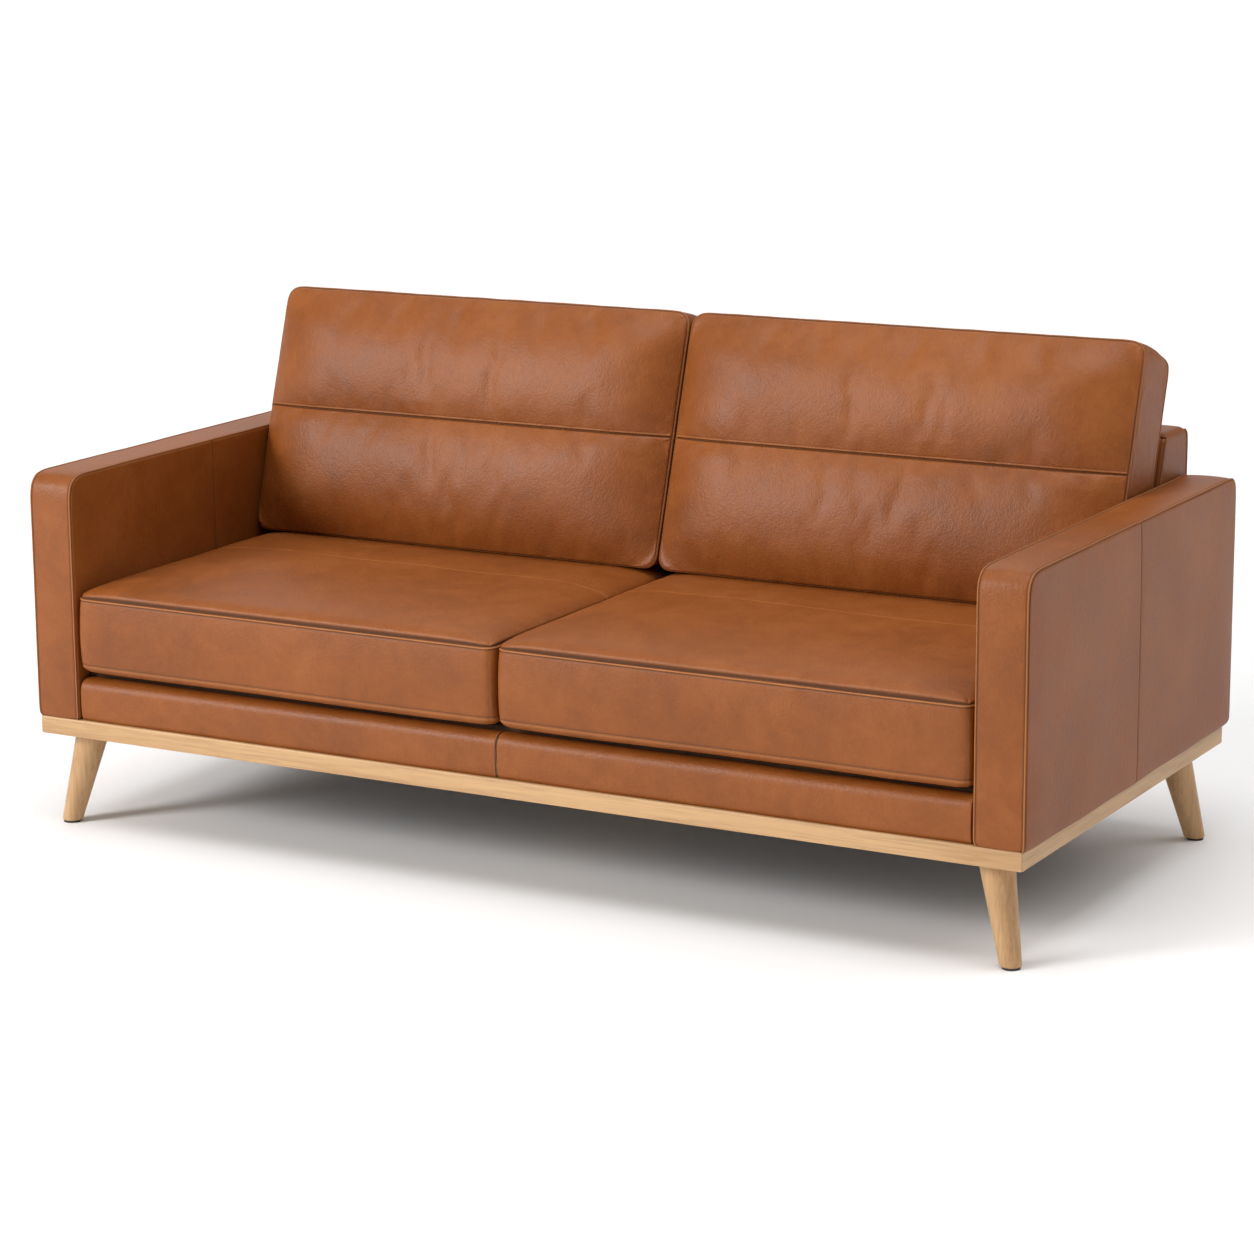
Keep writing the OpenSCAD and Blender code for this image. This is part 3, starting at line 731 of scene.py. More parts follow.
def metal_material(name, colour, rough, scale=140):
    n = Nodes(name)
    brush = n.noise(n.mapped((1, 1, 0.2)), scale, 3)
    tone = n.ramp(brush, [(0.3, [c * 0.8 for c in colour]), (0.7, colour)])
    roughness = n.maths("ADD", n.maths("MULTIPLY", brush, 0.18), rough - 0.09)
    return n.finish(tone, roughness, n.bump(brush, 0.0002, 0.3), metallic=1.0)


def glide_material():
    n = Nodes("glide")
    grit = n.noise(n.place, 320, 3)
    colour = n.ramp(grit, [(0.3, (0.030, 0.028, 0.026)), (0.7, (0.075, 0.070, 0.064))])
    return n.finish(colour, 0.75, n.bump(grit, 0.0004, 0.4), specular=0.3)


MATERIALS = {}


def material(name):
    """The named finish, built the first time it is asked for."""
    timber = bpy.context.scene.sofa_timber
    pine = ((0.70, 0.50, 0.27), (0.50, 0.31, 0.14))
    makers = {
        "leather": leather_material,
        "thread": thread_material,
        "oak_x": lambda: timber_material("oak along the width", 0, timber.oak, timber.grain),
        "oak_y": lambda: timber_material("oak along the depth", 1, timber.oak, timber.grain),
        "oak_leg": lambda: timber_material("oak of the legs", 2, timber.oak, timber.grain),
        "pine_x": lambda: timber_material("timber along the width", 0, *pine, 0.6),
        "pine_y": lambda: timber_material("timber along the depth", 1, *pine, 0.6),
        "pine_z": lambda: timber_material("timber upright", 2, *pine, 0.6),
        "plywood": plywood_material,
        "steel": lambda: metal_material("zinc-plated steel", (0.62, 0.63, 0.65), 0.38),
        "zip_metal": lambda: metal_material("brass of the zips", (0.60, 0.45, 0.22), 0.32, 400),
        "glide": glide_material,
        "foam": foam_material,
        "webbing": lambda: woven_material("webbing", (0.035, 0.035, 0.04),
                                          (0.16, 0.15, 0.14), 160),
        "deck_cloth": lambda: woven_material("deck cloth", (0.045, 0.021, 0.010),
                                             (0.11, 0.055, 0.027), 300),
        "dust_cloth": lambda: woven_material("dust cloth", (0.012, 0.012, 0.013),
                                             (0.05, 0.05, 0.052), 420),
        "zip_tape": lambda: woven_material("zip tape", (0.10, 0.035, 0.012),
                                           (0.26, 0.10, 0.035), 700),
    }
    if name not in MATERIALS:
        MATERIALS[name] = makers[name]()
    return MATERIALS[name]


# ---- seat cushions ----

def seat_box():
    low = low_of("seat_right_cover").copy()
    high = high_of("seat_right_cover").copy()
    high.y = low_of("seat_right_zip_slider").y - 0.0003
    return low, high


def seat_form(inset, fine, props):
    """The right-hand seat cushion, taken in by inset."""
    low, high = seat_box()
    seam = high.z - props.seat_crown
    low = low + Vector((inset, inset, inset))
    high = Vector((high.x - inset, high.y - inset, seam - inset))
    near = NEAR_SEAM if fine else COARSE_SEAM
    size = 0.0125 if fine else 0.04
    cross = [SEAT_CROSS_SEAM + d
             for d in (-SEAT_CROSS_REACH, -0.005, -0.0025, 0, 0.0025, 0.005, SEAT_CROSS_REACH)]
    across = places(low.x, high.x, size, near, near)
    deep = [p for p in places(low.y, high.y, size, near, near)
            if not fine or abs(p - SEAT_CROSS_SEAM) > 0.010]
    if fine:
        deep = sorted(deep + cross)
    tall = places(low.z, high.z, 0.011 if fine else 0.03, (0.001, 0.003, 0.006, 0.010), near)
    if fine:
        tall = [p for p in tall if abs(p - low.z - SEAT_LOW_SEAM) > 0.0075]
        tall += [low.z + SEAT_LOW_SEAM + d for d in (-0.0065, -0.004, -0.0015, 0, 0.0015, 0.004)]
        tall = sorted(tall)
    bm = sliced_block(low, high, (across, deep, tall))
    radius = max(0.008, props.corner - inset)
    edge = SEAT_FOOT_R - inset
    middle = (low + high) / 2
    half = (high - low) / 2

    def rule(p):
        x, y, z = p
        for to_x in (-1, 1):
            for to_y in (-1, 1):
                corner_x = middle.x + to_x * (half.x - radius)
                corner_y = middle.y + to_y * (half.y - radius)
                x, y = round_corner(x, y, corner_x, corner_y, to_x, to_y)
        up = z - low.z
        pulled = 0.0
        if up < edge:
            pulled = edge - math.sqrt(max(0, edge ** 2 - (edge - up) ** 2))
        full = math.sin(math.pi * min(1, max(0, up / (2 * half.z)))) ** 0.7
        bulge_x = SEAT_SIDE_BULGE * full - pulled
        bulge_y = SEAT_FRONT_BULGE * full - pulled
        x = middle.x + (x - middle.x) * (half.x + bulge_x) / half.x
        if y < middle.y:
            y = middle.y + (y - middle.y) * (half.y + bulge_y) / half.y
        else:
            y = middle.y + (y - middle.y) * (half.y - pulled) / half.y
        if p.z > high.z - TINY:
            from_side = min(p.x - low.x, high.x - p.x)
            from_front = p.y - low.y
            side = 0.50 * quarter_round(from_side, 0.026) + 0.50 * mound(from_side, 0.110, 2.6)
            front = 0.65 * quarter_round(from_front, 0.030) + 0.35 * mound(from_front, 0.140, 2.4)
            rear = mound(high.y - p.y, 0.060, 2.2)
            z += props.seat_crown * side * front * rear
        return Vector((x, y, z))

    shape(bm, rule)
    return bm, low, high


class SOFA_OT_seat_cushions(bpy.types.Operator):
    """Makes the two seat cushions: cover, foam core, stitches"""
    bl_idname = "sofa.seat_cushions"
    bl_label = "Seat cushions"

    def execute(self, context):
        props = context.scene.sofa_cushions
        leather = context.scene.sofa_leather
        form, low, high = seat_form(0, True, props)

        def edge_distance(p):
            return min(p.x - low.x, high.x - p.x, p.y - low.y, high.y - p.y)

        def on_top(p):
            return p.z > high.z - TINY

        def seam_at(p):
            if on_top(p):
                s = edge_distance(p)
                cross = abs(p.y - SEAT_CROSS_SEAM)
                if cross < s and cross < SEAT_CROSS_REACH:
                    # A slight seam: sew paints a highlight line along it instead of shade
                    return cross, 0, 0.30
                return s, 0, 1
            return high.z - p.z, 1, 1

        def held(p):
            if on_top(p):
                s = edge_distance(p)
                rear = max(0.0, min(1.0, (p.y - 0.07) / 0.03))
                return max(rear, 1.0 if s < 0.004 else 0.0)
            if p.y < low.y + TINY and low.z + 0.022 < p.z < high.z - 0.013:
                return 0.0
            return 1.0

        swell(form, props.seat_swell, held)
        for side, seed in zip(SIDES, (3.1, 8.4)):
            bm = form.copy()
            bm.normal_update()

            def soft(p):
                if not on_top(p):
                    return 0.35 if p.y < low.y + TINY else 0.0
                return mound(edge_distance(p), 0.08) * (1 - max(0, min(1, (p.y - 0.04) / 0.05)))

            settle(bm, 0.0042, 0.21, seed, soft)
            settle(bm, 0.0008, 0.06, seed + 5, soft)
            sew(bm, seam_at)
            drawn = bm.verts.layers.float_vector["drawn"]
            seam_shade = bm.verts.layers.float["seam_shade"]
            seam_highlight = bm.verts.layers.float["seam_highlight"]
            for v in bm.verts:
                p = v[drawn]
                if on_top(p) or p.z < low.z + TINY:
                    continue
                up = p.z - low.z - SEAT_LOW_SEAM
                v.co -= v.normal * 0.0011 * bell(up, 0, 0.0015)
                # Painted shade in the low seam
                v[seam_shade] = max(v[seam_shade], 0.75 * bell(up, 0, 0.0012))
                # Painted highlight just below the low seam
                v[seam_highlight] = max(v[seam_highlight], 0.5 * bell(up, -0.0035, 0.002))
            bm.normal_update()
            pucker(bm, seam_at, lambda p: p.x + p.y, 0.0007, 0.030, 0.034, seed)
            on_side(bm, side)

            def round_order(p):
                return math.atan2((p.y - (low.y + high.y) / 2) / (high.y - low.y),
                                  (p.x - (low.x + high.x) / 2) / (high.x - low.x))

            thread = bmesh.new()
            top_line = line_on(
                bm, lambda p: abs(p.z - (high.z - STITCH_LINE)) < 2 * TINY, round_order)
            stitches(thread, top_line, leather.pitch)
            low_line = line_on(
                bm, lambda p: abs(p.z - low.z - SEAT_LOW_SEAM) < 2 * TINY, round_order)
            stitches(thread, low_line, leather.pitch, 0.0)
            foam = seat_form(SEAT_CORE_INSET, False, props)[0]
            on_side(foam, side)
            add_cushion(bm, thread, foam, "seat", side, seed)
        form.free()
        return {"FINISHED"}


# ---- back cushions ----

def back_origin():
    """Where the foot of a back cushion's front is, in depth and height."""
    low = low_of("back_right_cover")
    high = high_of("back_right_cover")
    reach = (BACK_T - BACK_R) * math.cos(LEAN) + (BACK_H - BACK_R) * math.sin(LEAN) + BACK_R
    return high.y - reach, low.z


def back_form(inset, fine, props):
    """The right-hand back cushion, drawn upright: Y is its thickness and Z its height."""
    box_low = low_of("back_right_cover")
    box_high = high_of("back_right_cover")
    low = Vector((box_low.x + inset, inset, inset))
    high = Vector((box_high.x - inset, BACK_T - inset, BACK_H - inset))
    near = NEAR_SEAM if fine else COARSE_SEAM
    size = 0.0125 if fine else 0.04
    across = places(low.x, high.x, size, near, near)
    deep = places(low.y, high.y, 0.012 if fine else 0.04, near, near)
    tall = places(low.z, high.z, size, near, near)
    if fine:
        tall = [p for p in tall if abs(p - MIDDLE_SEAM) > 0.030]
        for d in (0, *NEAR_SEAM, 0.028):
            tall += [MIDDLE_SEAM + d, MIDDLE_SEAM - d]
        tall = sorted({round(p, 6) for p in tall})
    bm = sliced_block(low, high, (across, deep, tall))
    radius = max(0.010, BACK_R - inset)
    foot_radius = max(0.010, BACK_FOOT_R - inset)
    start_y, start_z = back_origin()
    middle = (low + high) / 2
    half = (high - low) / 2

    def upright(p):
        x, a, b = p
        for to_x in (-1, 1):
            corner_x = middle.x + to_x * (half.x - radius)
            x, b = round_corner(x, b, corner_x, high.z - radius, to_x, 1)
            corner_x = middle.x + to_x * (half.x - foot_radius)
            x, b = round_corner(x, b, corner_x, low.z + foot_radius, to_x, -1)
        inner = min(p.x - low.x, high.x - p.x, high.z - p.z, p.z - low.z)
        if p.y < low.y + TINY:
            side = mound(min(p.x - low.x, high.x - p.x), 0.160, 2.5)
            top = mound(high.z - p.z, 0.090, 2.0)
            foot = (0.50 * mound(p.z - low.z, 0.240, 2.0)
                    + 0.50 * mound(p.z - low.z, 0.100, 3.0))
            above_seam = p.z - MIDDLE_SEAM
            dip = 0.75 + 0.25 * mound(abs(above_seam), 0.060 if above_seam > 0 else 0.030)
            a -= max(0, props.back_crown - 3 * inset) * side * top * foot * dip
        elif p.y > high.y - TINY:
            near_zip = bell(p.z, ZIP_HEIGHT, 0.060)
            a += BACK_REAR_PUFF * mound(inner, 0.06) * (1 - near_zip)
        else:
            full = math.sin(math.pi * (p.y - low.y) / (2 * half.y)) ** 0.7
            x = middle.x + (x - middle.x) * (half.x + BACK_SIDE_BULGE * full) / half.x
            if b > middle.z:
                b = middle.z + (b - middle.z) * (half.z + BACK_TOP_BULGE * full) / half.z
        return x, a, b

    def rule(p):
        x, a, b = upright(p)
        level = a * math.tan(LEAN)
        b = level + b * (BACK_H - level) / BACK_H
        return Vector((x, start_y + a * math.cos(LEAN) + b * math.sin(LEAN),
                       start_z - a * math.sin(LEAN) + b * math.cos(LEAN)))

    shape(bm, rule)
    return bm, low, high


def fill_out(bm, side, plump, end):
    """Fills one end of a back cushion more than the other, at its front."""
    drawn = bm.verts.layers.float_vector["drawn"]
    fuller = -1 if side == "left" else 1
    for v in bm.verts:
        p = v[drawn]
        share = 1 - max(0.0, min(1.0, p.y / BACK_T))
        v.co.y += fuller * plump * share * p.x / end * min(1, 0.4 + p.z / 0.3)
    bm.normal_update()


class SOFA_OT_back_cushions(bpy.types.Operator):
    """Makes the two back cushions: cover, foam core, stitches"""
    bl_idname = "sofa.back_cushions"
    bl_label = "Back cushions"

    def execute(self, context):
        props = context.scene.sofa_cushions
        leather = context.scene.sofa_leather
        form, low, high = back_form(0, True, props)

        def edge_distance(p):
            return min(p.x - low.x, high.x - p.x, p.z - low.z, high.z - p.z)

        def on_front(p):
            return p.y < low.y + TINY

        def on_rear(p):
            return p.y > high.y - TINY

        def seam_at(p):
            if on_front(p):
                s = edge_distance(p)
                across = p.z - MIDDLE_SEAM
                if abs(across) < s:
                    return abs(across), (0.75 if across > 0 else 0), 0.8
                return s, 0, 1
            if on_rear(p):
                return edge_distance(p), 0, 1
            return min(p.y - low.y, high.y - p.y), 1, 1

        def held(p):
            if on_front(p):
                near = min(edge_distance(p), abs(p.z - MIDDLE_SEAM))
                return 1.0 if near < 0.004 else 0.0
            if on_rear(p) or p.z < low.z + TINY:
                return 1.0
            return 1.0 if min(p.y - low.y, high.y - p.y) < 0.013 else 0.35

        swell(form, props.back_swell, held)
        for side, seed in zip(SIDES, (5.3, 11.9)):
            bm = form.copy()
            bm.normal_update()

            def soft(p):
                if on_front(p):
                    near = min(edge_distance(p), abs(p.z - MIDDLE_SEAM))
                    return mound(near, 0.07)
                return 0.0

            settle(bm, 0.0050, 0.19, seed, soft)
            settle(bm, 0.0007, 0.060, seed + 5, soft)
            sew(bm, seam_at)

            def along(p):
                if on_front(p) and abs(p.z - MIDDLE_SEAM) > edge_distance(p):
                    near_side = min(p.x - low.x, high.x - p.x) < min(p.z - low.z, high.z - p.z)
                    return p.z if near_side else p.x
                return p.x if on_front(p) else p.x + p.z

            pucker(bm, seam_at, along, 0.0009, 0.040, 0.045, seed)
            fill_out(bm, side, props.plump, high.x)
            on_side(bm, side)

            def round_order(p):
                return math.atan2((p.z - (low.z + high.z) / 2) / (high.z - low.z),
                                  (p.x - (low.x + high.x) / 2) / (high.x - low.x))

            thread = bmesh.new()
            for line_y in (low.y + STITCH_LINE, high.y - STITCH_LINE):
                line = line_on(
                    bm, lambda p, y=line_y: abs(p.y - y) < 2 * TINY and not
                    (p.z < low.z + TINY and low.x + 0.01 < p.x < high.x - 0.01), round_order)
                stitches(thread, line, leather.pitch)
            foam = back_form(BACK_CORE_INSET, False, props)[0]
            fill_out(foam, side, props.plump, high.x)
            on_side(foam, side)
            add_cushion(bm, thread, foam, "back", side, seed)
        form.free()
        return {"FINISHED"}


# ---- arms ----

def arm_form(inset, fine):
    """The right arm's upholstered outside, taken in by inset."""
    low = Vector((low_of("arm_right_inner_panel").x + inset,
                  low_of("arm_right_inner_panel").y + inset, low_of("arm_right_band").z))
    high = Vector((high_of("arm_right_outer_front").x - inset,
                   high_of("arm_right_inner_panel").y - inset,
                   high_of("arm_right_inner_panel").z - inset))
    near = NEAR_SEAM if fine else COARSE_SEAM
    across = places(low.x, high.x, 0.012 if fine else 0.03, near, near)
    deep = places(low.y, high.y, 0.02 if fine else 0.05, near, near)
    tall = places(low.z, high.z, 0.02 if fine else 0.05, (0.002, 0.005, 0.010), near)
    split = high_of("arm_right_outer_front").y
    if fine:
        for seam in (split, ARM_INNER_SEAM):
            deep = [p for p in deep if abs(p - seam) > 0.012]
            deep += [seam + d for d in (-0.010, -0.006, -0.003, -0.0013, 0,
                                        0.0013, 0.003, 0.006, 0.010)]
        deep = sorted({round(p, 6) for p in deep})
    bm = sliced_block(low, high, (across, deep, tall))
    front_r = ARM_FRONT_R - inset
    back_r = ARM_BACK_R - inset

    def rule(p):
        x, y, z = p
        y, z = round_corner(y, z, low.y + front_r, high.z - front_r, -1, 1)
        y, z = round_corner(y, z, high.y - back_r, high.z - back_r, 1, 1)
        s = min(p.y - low.y, high.y - p.y, high.z - p.z)
        if p.x > high.x - TINY:
            x += 0.0030 * mound(s, 0.07)
        elif p.x < low.x + TINY:
            x -= 0.0012 * mound(s, 0.07)
        else:
            t = (p.x - low.x) / (high.x - low.x)
            crown = 0.0022 * math.sin(math.pi * t) ** 0.8
            if p.z > high.z - TINY:
                z += crown
            elif p.y < low.y + TINY:
                y -= crown
            elif p.y > high.y - TINY:
                y += crown
        tuck = TUCK * (1 - min(1, (p.z - low.z) / TUCK_HEIGHT)) ** 2
        middle = (low + high) / 2
        if p.z < low.z + TUCK_HEIGHT:
            x += tuck if x < middle.x else -tuck
            y += tuck if y < middle.y else -tuck
        return Vector((x, y, z))

    shape(bm, rule)
    return bm, low, high, split


class SOFA_OT_arms(bpy.types.Operator):
    """Makes the arms' leather panels, padding and stitches"""
    bl_idname = "sofa.arms"
    bl_label = "Arms"

    def execute(self, context):
        leather = context.scene.sofa_leather
        form, low, high, split = arm_form(0, True)

        def on_outer(p):
            return p.x > high.x - TINY

        def on_inner(p):
            return p.x < low.x + TINY

        def seam_at(p):
            if on_outer(p) or on_inner(p):
                s = min(p.y - low.y, high.y - p.y, high.z - p.z)
                upright = abs(p.y - (split if on_outer(p) else ARM_INNER_SEAM))
                if upright < s:
                    return upright, 0, 0.55
                return s, 0, 1
            return min(p.x - low.x, high.x - p.x), 1, 1

        def order(p):
            if p.y < low.y + TINY:
                return p.z
            if p.z > high.z - TINY:
                return high.z + (p.y - low.y)
            return high.z + (high.y - low.y) + (high.z - p.z)

        for side, seed in zip(SIDES, (2.2, 6.7)):
            bm = form.copy()
            bm.normal_update()

            def soft(p):
                if on_outer(p):
                    return mound(min(p.y - low.y, high.y - p.y, high.z - p.z), 0.05)
                return 0.3

            settle(bm, 0.0022, 0.16, seed, soft)
            sew(bm, seam_at)
            pucker(bm, seam_at, lambda p: p.y + p.z, 0.0004, 0.028, 0.030, seed)
            on_side(bm, side)
            thread = bmesh.new()
            for line_x in (low.x + STITCH_LINE, high.x - STITCH_LINE):
                line = line_on(
                    bm, lambda p, x=line_x: abs(p.x - x) < 2 * TINY and p.z > low.z + TINY,
                    order)
                stitches(thread, line, leather.pitch)
            panels = {
                "outer_front": lambda p: on_outer(p) and p.y < split,
                "outer_back": lambda p: on_outer(p) and p.y > split,
                "inner_panel": on_inner,
                "band": lambda p: not on_outer(p) and not on_inner(p) and p.z > low.z + TINY,
            }
            for number, (name, keep) in enumerate(panels.items()):
                add_piece(
                    part_of(bm, keep), f"arm_{side}_{name}_leather", material("leather"),
                    "sofa_body", [f"arm_{side}_{name}"], levels=1,
                    thickness=LEATHER_THICK, hide=seed + number * 3.7)
            bm.free()
            add_piece(thread, f"arm_{side}_stitches", material("thread"), "sofa_body")
            pad, pad_low = arm_form(ARM_INSET, False)[:2]
            on_side(pad, side)
            foam = part_of(pad, lambda p: p.z > pad_low.z + TINY)
            pad.free()
            piece = add_piece(
                foam, f"arm_{side}_padding", material("foam"), "sofa_body",
                [f"arm_{side}_pad"], levels=1, thickness=PAD_THICK)
        form.free()
        return {"FINISHED"}


# ---- apron ----

def apron_form(inset, fine):
    """The right half of the padded rail under the seat cushions, taken in by inset."""
    low = low_of("apron_cover_right").copy()
    high = high_of("apron_cover_right").copy()
    low.y += inset
    high.z -= inset
    high.x -= inset
    near = NEAR_SEAM if fine else COARSE_SEAM
    across = places(low.x, high.x, 0.02 if fine else 0.05, near, near)
    deep = places(low.y, high.y, 0.006, (0.002, 0.004), ())
    tall = places(low.z, high.z, 0.006 if fine else 0.012, (0.002, 0.005, 0.009), (0.002, 0.004))
    bm = sliced_block(low, high, (across, deep, tall))
    radius = APRON_R - inset

    def rule(p):
        x, y, z = p
        y, z = round_corner(y, z, low.y + radius, high.z - radius, -1, 1)
        if p.y < low.y + TINY:
            y -= 0.003 * math.sin(math.pi * (p.z - low.z) / (high.z - low.z)) ** 0.8
        if p.z < low.z + 0.009:
            y += 0.003 * (1 - (p.z - low.z) / 0.009) ** 2
        return Vector((x, y, z))

    shape(bm, rule)
    return bm, low, high


class SOFA_OT_apron(bpy.types.Operator):
    """Makes the padded rail under the seat cushions"""
    bl_idname = "sofa.apron"
    bl_label = "Apron"

    def execute(self, context):
        for side, seed in zip(SIDES, (4.4, 9.6)):
            bm, low, high = apron_form(0, True)

            def seam_at(p):
                if p.x > high.x - TINY:
                    return min(p.y - low.y, high.z - p.z), 0, 1
                end = high.x - p.x
                if p.x - low.x < end:
                    return p.x - low.x, 0, 0.55
                return end, 0, 1

            settle(bm, 0.0016, 0.15, seed, lambda p: mound(seam_at(p)[0], 0.04))
            sew(bm, seam_at)
            pucker(bm, seam_at, lambda p: p.z, 0.0004, 0.02, 0.02, seed)
            on_side(bm, side)

            def keep(p):
                return (p.x > low.x + TINY and p.z > low.z + TINY and p.y < high.y - TINY)

            add_piece(
                part_of(bm, keep), f"apron_{side}_leather", material("leather"), "sofa_body",
                [f"apron_cover_{side}"], levels=1, thickness=LEATHER_THICK, hide=seed)
            bm.free()
        for side in SIDES:
            pad, low, high = apron_form(APRON_INSET, False)

            def keep_pad(p):
                return p.z > low.z + TINY and p.y < high.y - TINY and p.x > low.x + TINY

            on_side(pad, side)
            half = part_of(pad, keep_pad)
            pad.free()
            piece = add_piece(
                half, f"apron_{side}_padding", material("foam"), "sofa_body",
                ["apron_pad"] if side == "left" else [], levels=1, thickness=PAD_THICK)
        return {"FINISHED"}


# ---- fixed back ----

def fixed_back_form(inset, fine):
    """The fixed back's upholstered outside, taken in by inset."""
    band_low = low_of("back_band")
    band_high = high_of("back_band")
    low = Vector((band_low.x + inset, band_high.y - BACK_TOP_DEPTH + inset,
                  low_of("back_rear_panel").z))
    high = Vector((band_high.x - inset, band_high.y - inset, band_high.z - inset))
    near = NEAR_SEAM if fine else COARSE_SEAM
    across = places(low.x, high.x, 0.025 if fine else 0.06, near, near)
    deep = places(low.y, high.y, 0.010 if fine else 0.04, near, near)
    tall = places(low.z, high.z, 0.02 if fine else 0.05, (0.002, 0.005, 0.010), near)
    bm = sliced_block(low, high, (across, deep, tall))
    radius = BACK_TOP_R - inset

    def rule(p):
        x, y, z = p
        y, z = round_corner(y, z, low.y + radius, high.z - radius, -1, 1)
        y, z = round_corner(y, z, high.y - radius, high.z - radius, 1, 1)
        for to_x in (-1, 1):
            corner_x = (low.x + high.x) / 2 + to_x * ((high.x - low.x) / 2 - BACK_END_R)
            x, z = round_corner(x, z, corner_x, high.z - BACK_END_R, to_x, 1)
        s = min(p.x - low.x, high.x - p.x, high.z - p.z)
        if p.y < low.y + TINY:
            y -= 0.006 * mound(s, 0.06)
        elif p.y > high.y - TINY:
            y += 0.003 * mound(s, 0.09)
        depth = BACK_TOP_DEPTH + (band_high.z - z) * math.tan(LEAN)
        y = band_high.y - (band_high.y - y) * depth / BACK_TOP_DEPTH
        if p.z < low.z + TUCK_HEIGHT and p.y > high.y - TINY:
            y -= 0.003 * (1 - (p.z - low.z) / TUCK_HEIGHT) ** 2
        return Vector((x, y, z))

    shape(bm, rule)
    return bm, low, high


class SOFA_OT_fixed_back(bpy.types.Operator):
    """Makes the fixed back's leather panels, padding and stitches"""
    bl_idname = "sofa.fixed_back"
    bl_label = "Fixed back"

    def execute(self, context):
        leather = context.scene.sofa_leather
        bm, low, high = fixed_back_form(0, True)

        def on_front(p):
            return p.y < low.y + TINY

        def on_rear(p):
            return p.y > high.y - TINY

        def seam_at(p):
            if on_front(p) or on_rear(p):
                return min(p.x - low.x, high.x - p.x, high.z - p.z), 0, 1
            return min(p.y - low.y, high.y - p.y), 1, 1

        def order(p):
            if p.x < low.x + TINY:
                return p.z
            if p.z > high.z - TINY:
                return high.z + p.x - low.x
            return 2 * high.z + high.x - low.x - p.z

        settle(bm, 0.0020, 0.20, 7.7, lambda p: mound(seam_at(p)[0], 0.06))
        sew(bm, seam_at)
        pucker(bm, seam_at, lambda p: p.x + p.z, 0.0005, 0.03, 0.03, 4.1)
        thread = bmesh.new()
        for line_y in (low.y + STITCH_LINE, high.y - STITCH_LINE):
            line = line_on(
                bm, lambda p, y=line_y: abs(p.y - y) < 2 * TINY and
                p.z > BACK_DECK_Z + 0.02, order)
            stitches(thread, line, leather.pitch)

        def above_deck(p):
            return p.z > BACK_DECK_Z

        panels = {
            "back_front_panel": lambda p: on_front(p) and above_deck(p),
            "back_rear_panel": lambda p: on_rear(p) and p.z > low.z + TINY,
            "back_band": lambda p: not on_front(p) and not on_rear(p) and above_deck(p),
        }
        for number, (name, keep) in enumerate(panels.items()):
            add_piece(
                part_of(bm, keep), f"{name}_leather", material("leather"), "sofa_body",
                [name], levels=1, thickness=LEATHER_THICK, hide=1.5 + 2.9 * number)
        bm.free()
        add_piece(thread, "back_stitches", material("thread"), "sofa_body")
        pad, pad_low, pad_high = fixed_back_form(BACK_PAD_INSET, False)

        def keep_pad(p):
            return p.z > BACK_DECK_Z and pad_low.x + TINY < p.x < pad_high.x - TINY

        foam = part_of(pad, keep_pad)
        pad.free()
        piece = add_piece(foam, "back_padding", material("foam"), "sofa_body",
                          ["back_pad"], levels=1, thickness=PAD_THICK)
        return {"FINISHED"}


# ---- oak ----

def mitred_rail(low, high, along, inner_first):
    """A rail along X or Y whose ends are cut at 45 degrees towards the inside."""
    bm = bmesh.new()
    bmesh.ops.create_cube(bm, size=1)
    across = 1 - along
    width = high[across] - low[across]
    for v in bm.verts:
        corner = [v.co[i] > 0 for i in range(3)]
        v.co = Vector([high[i] if corner[i] else low[i] for i in range(3)])
        inside = not corner[across] if inner_first else corner[across]
        if inside:
            v.co[along] += width if not corner[along] else -width
        v.co[along] += 0.0002 if not corner[along] else -0.0002
    return bm


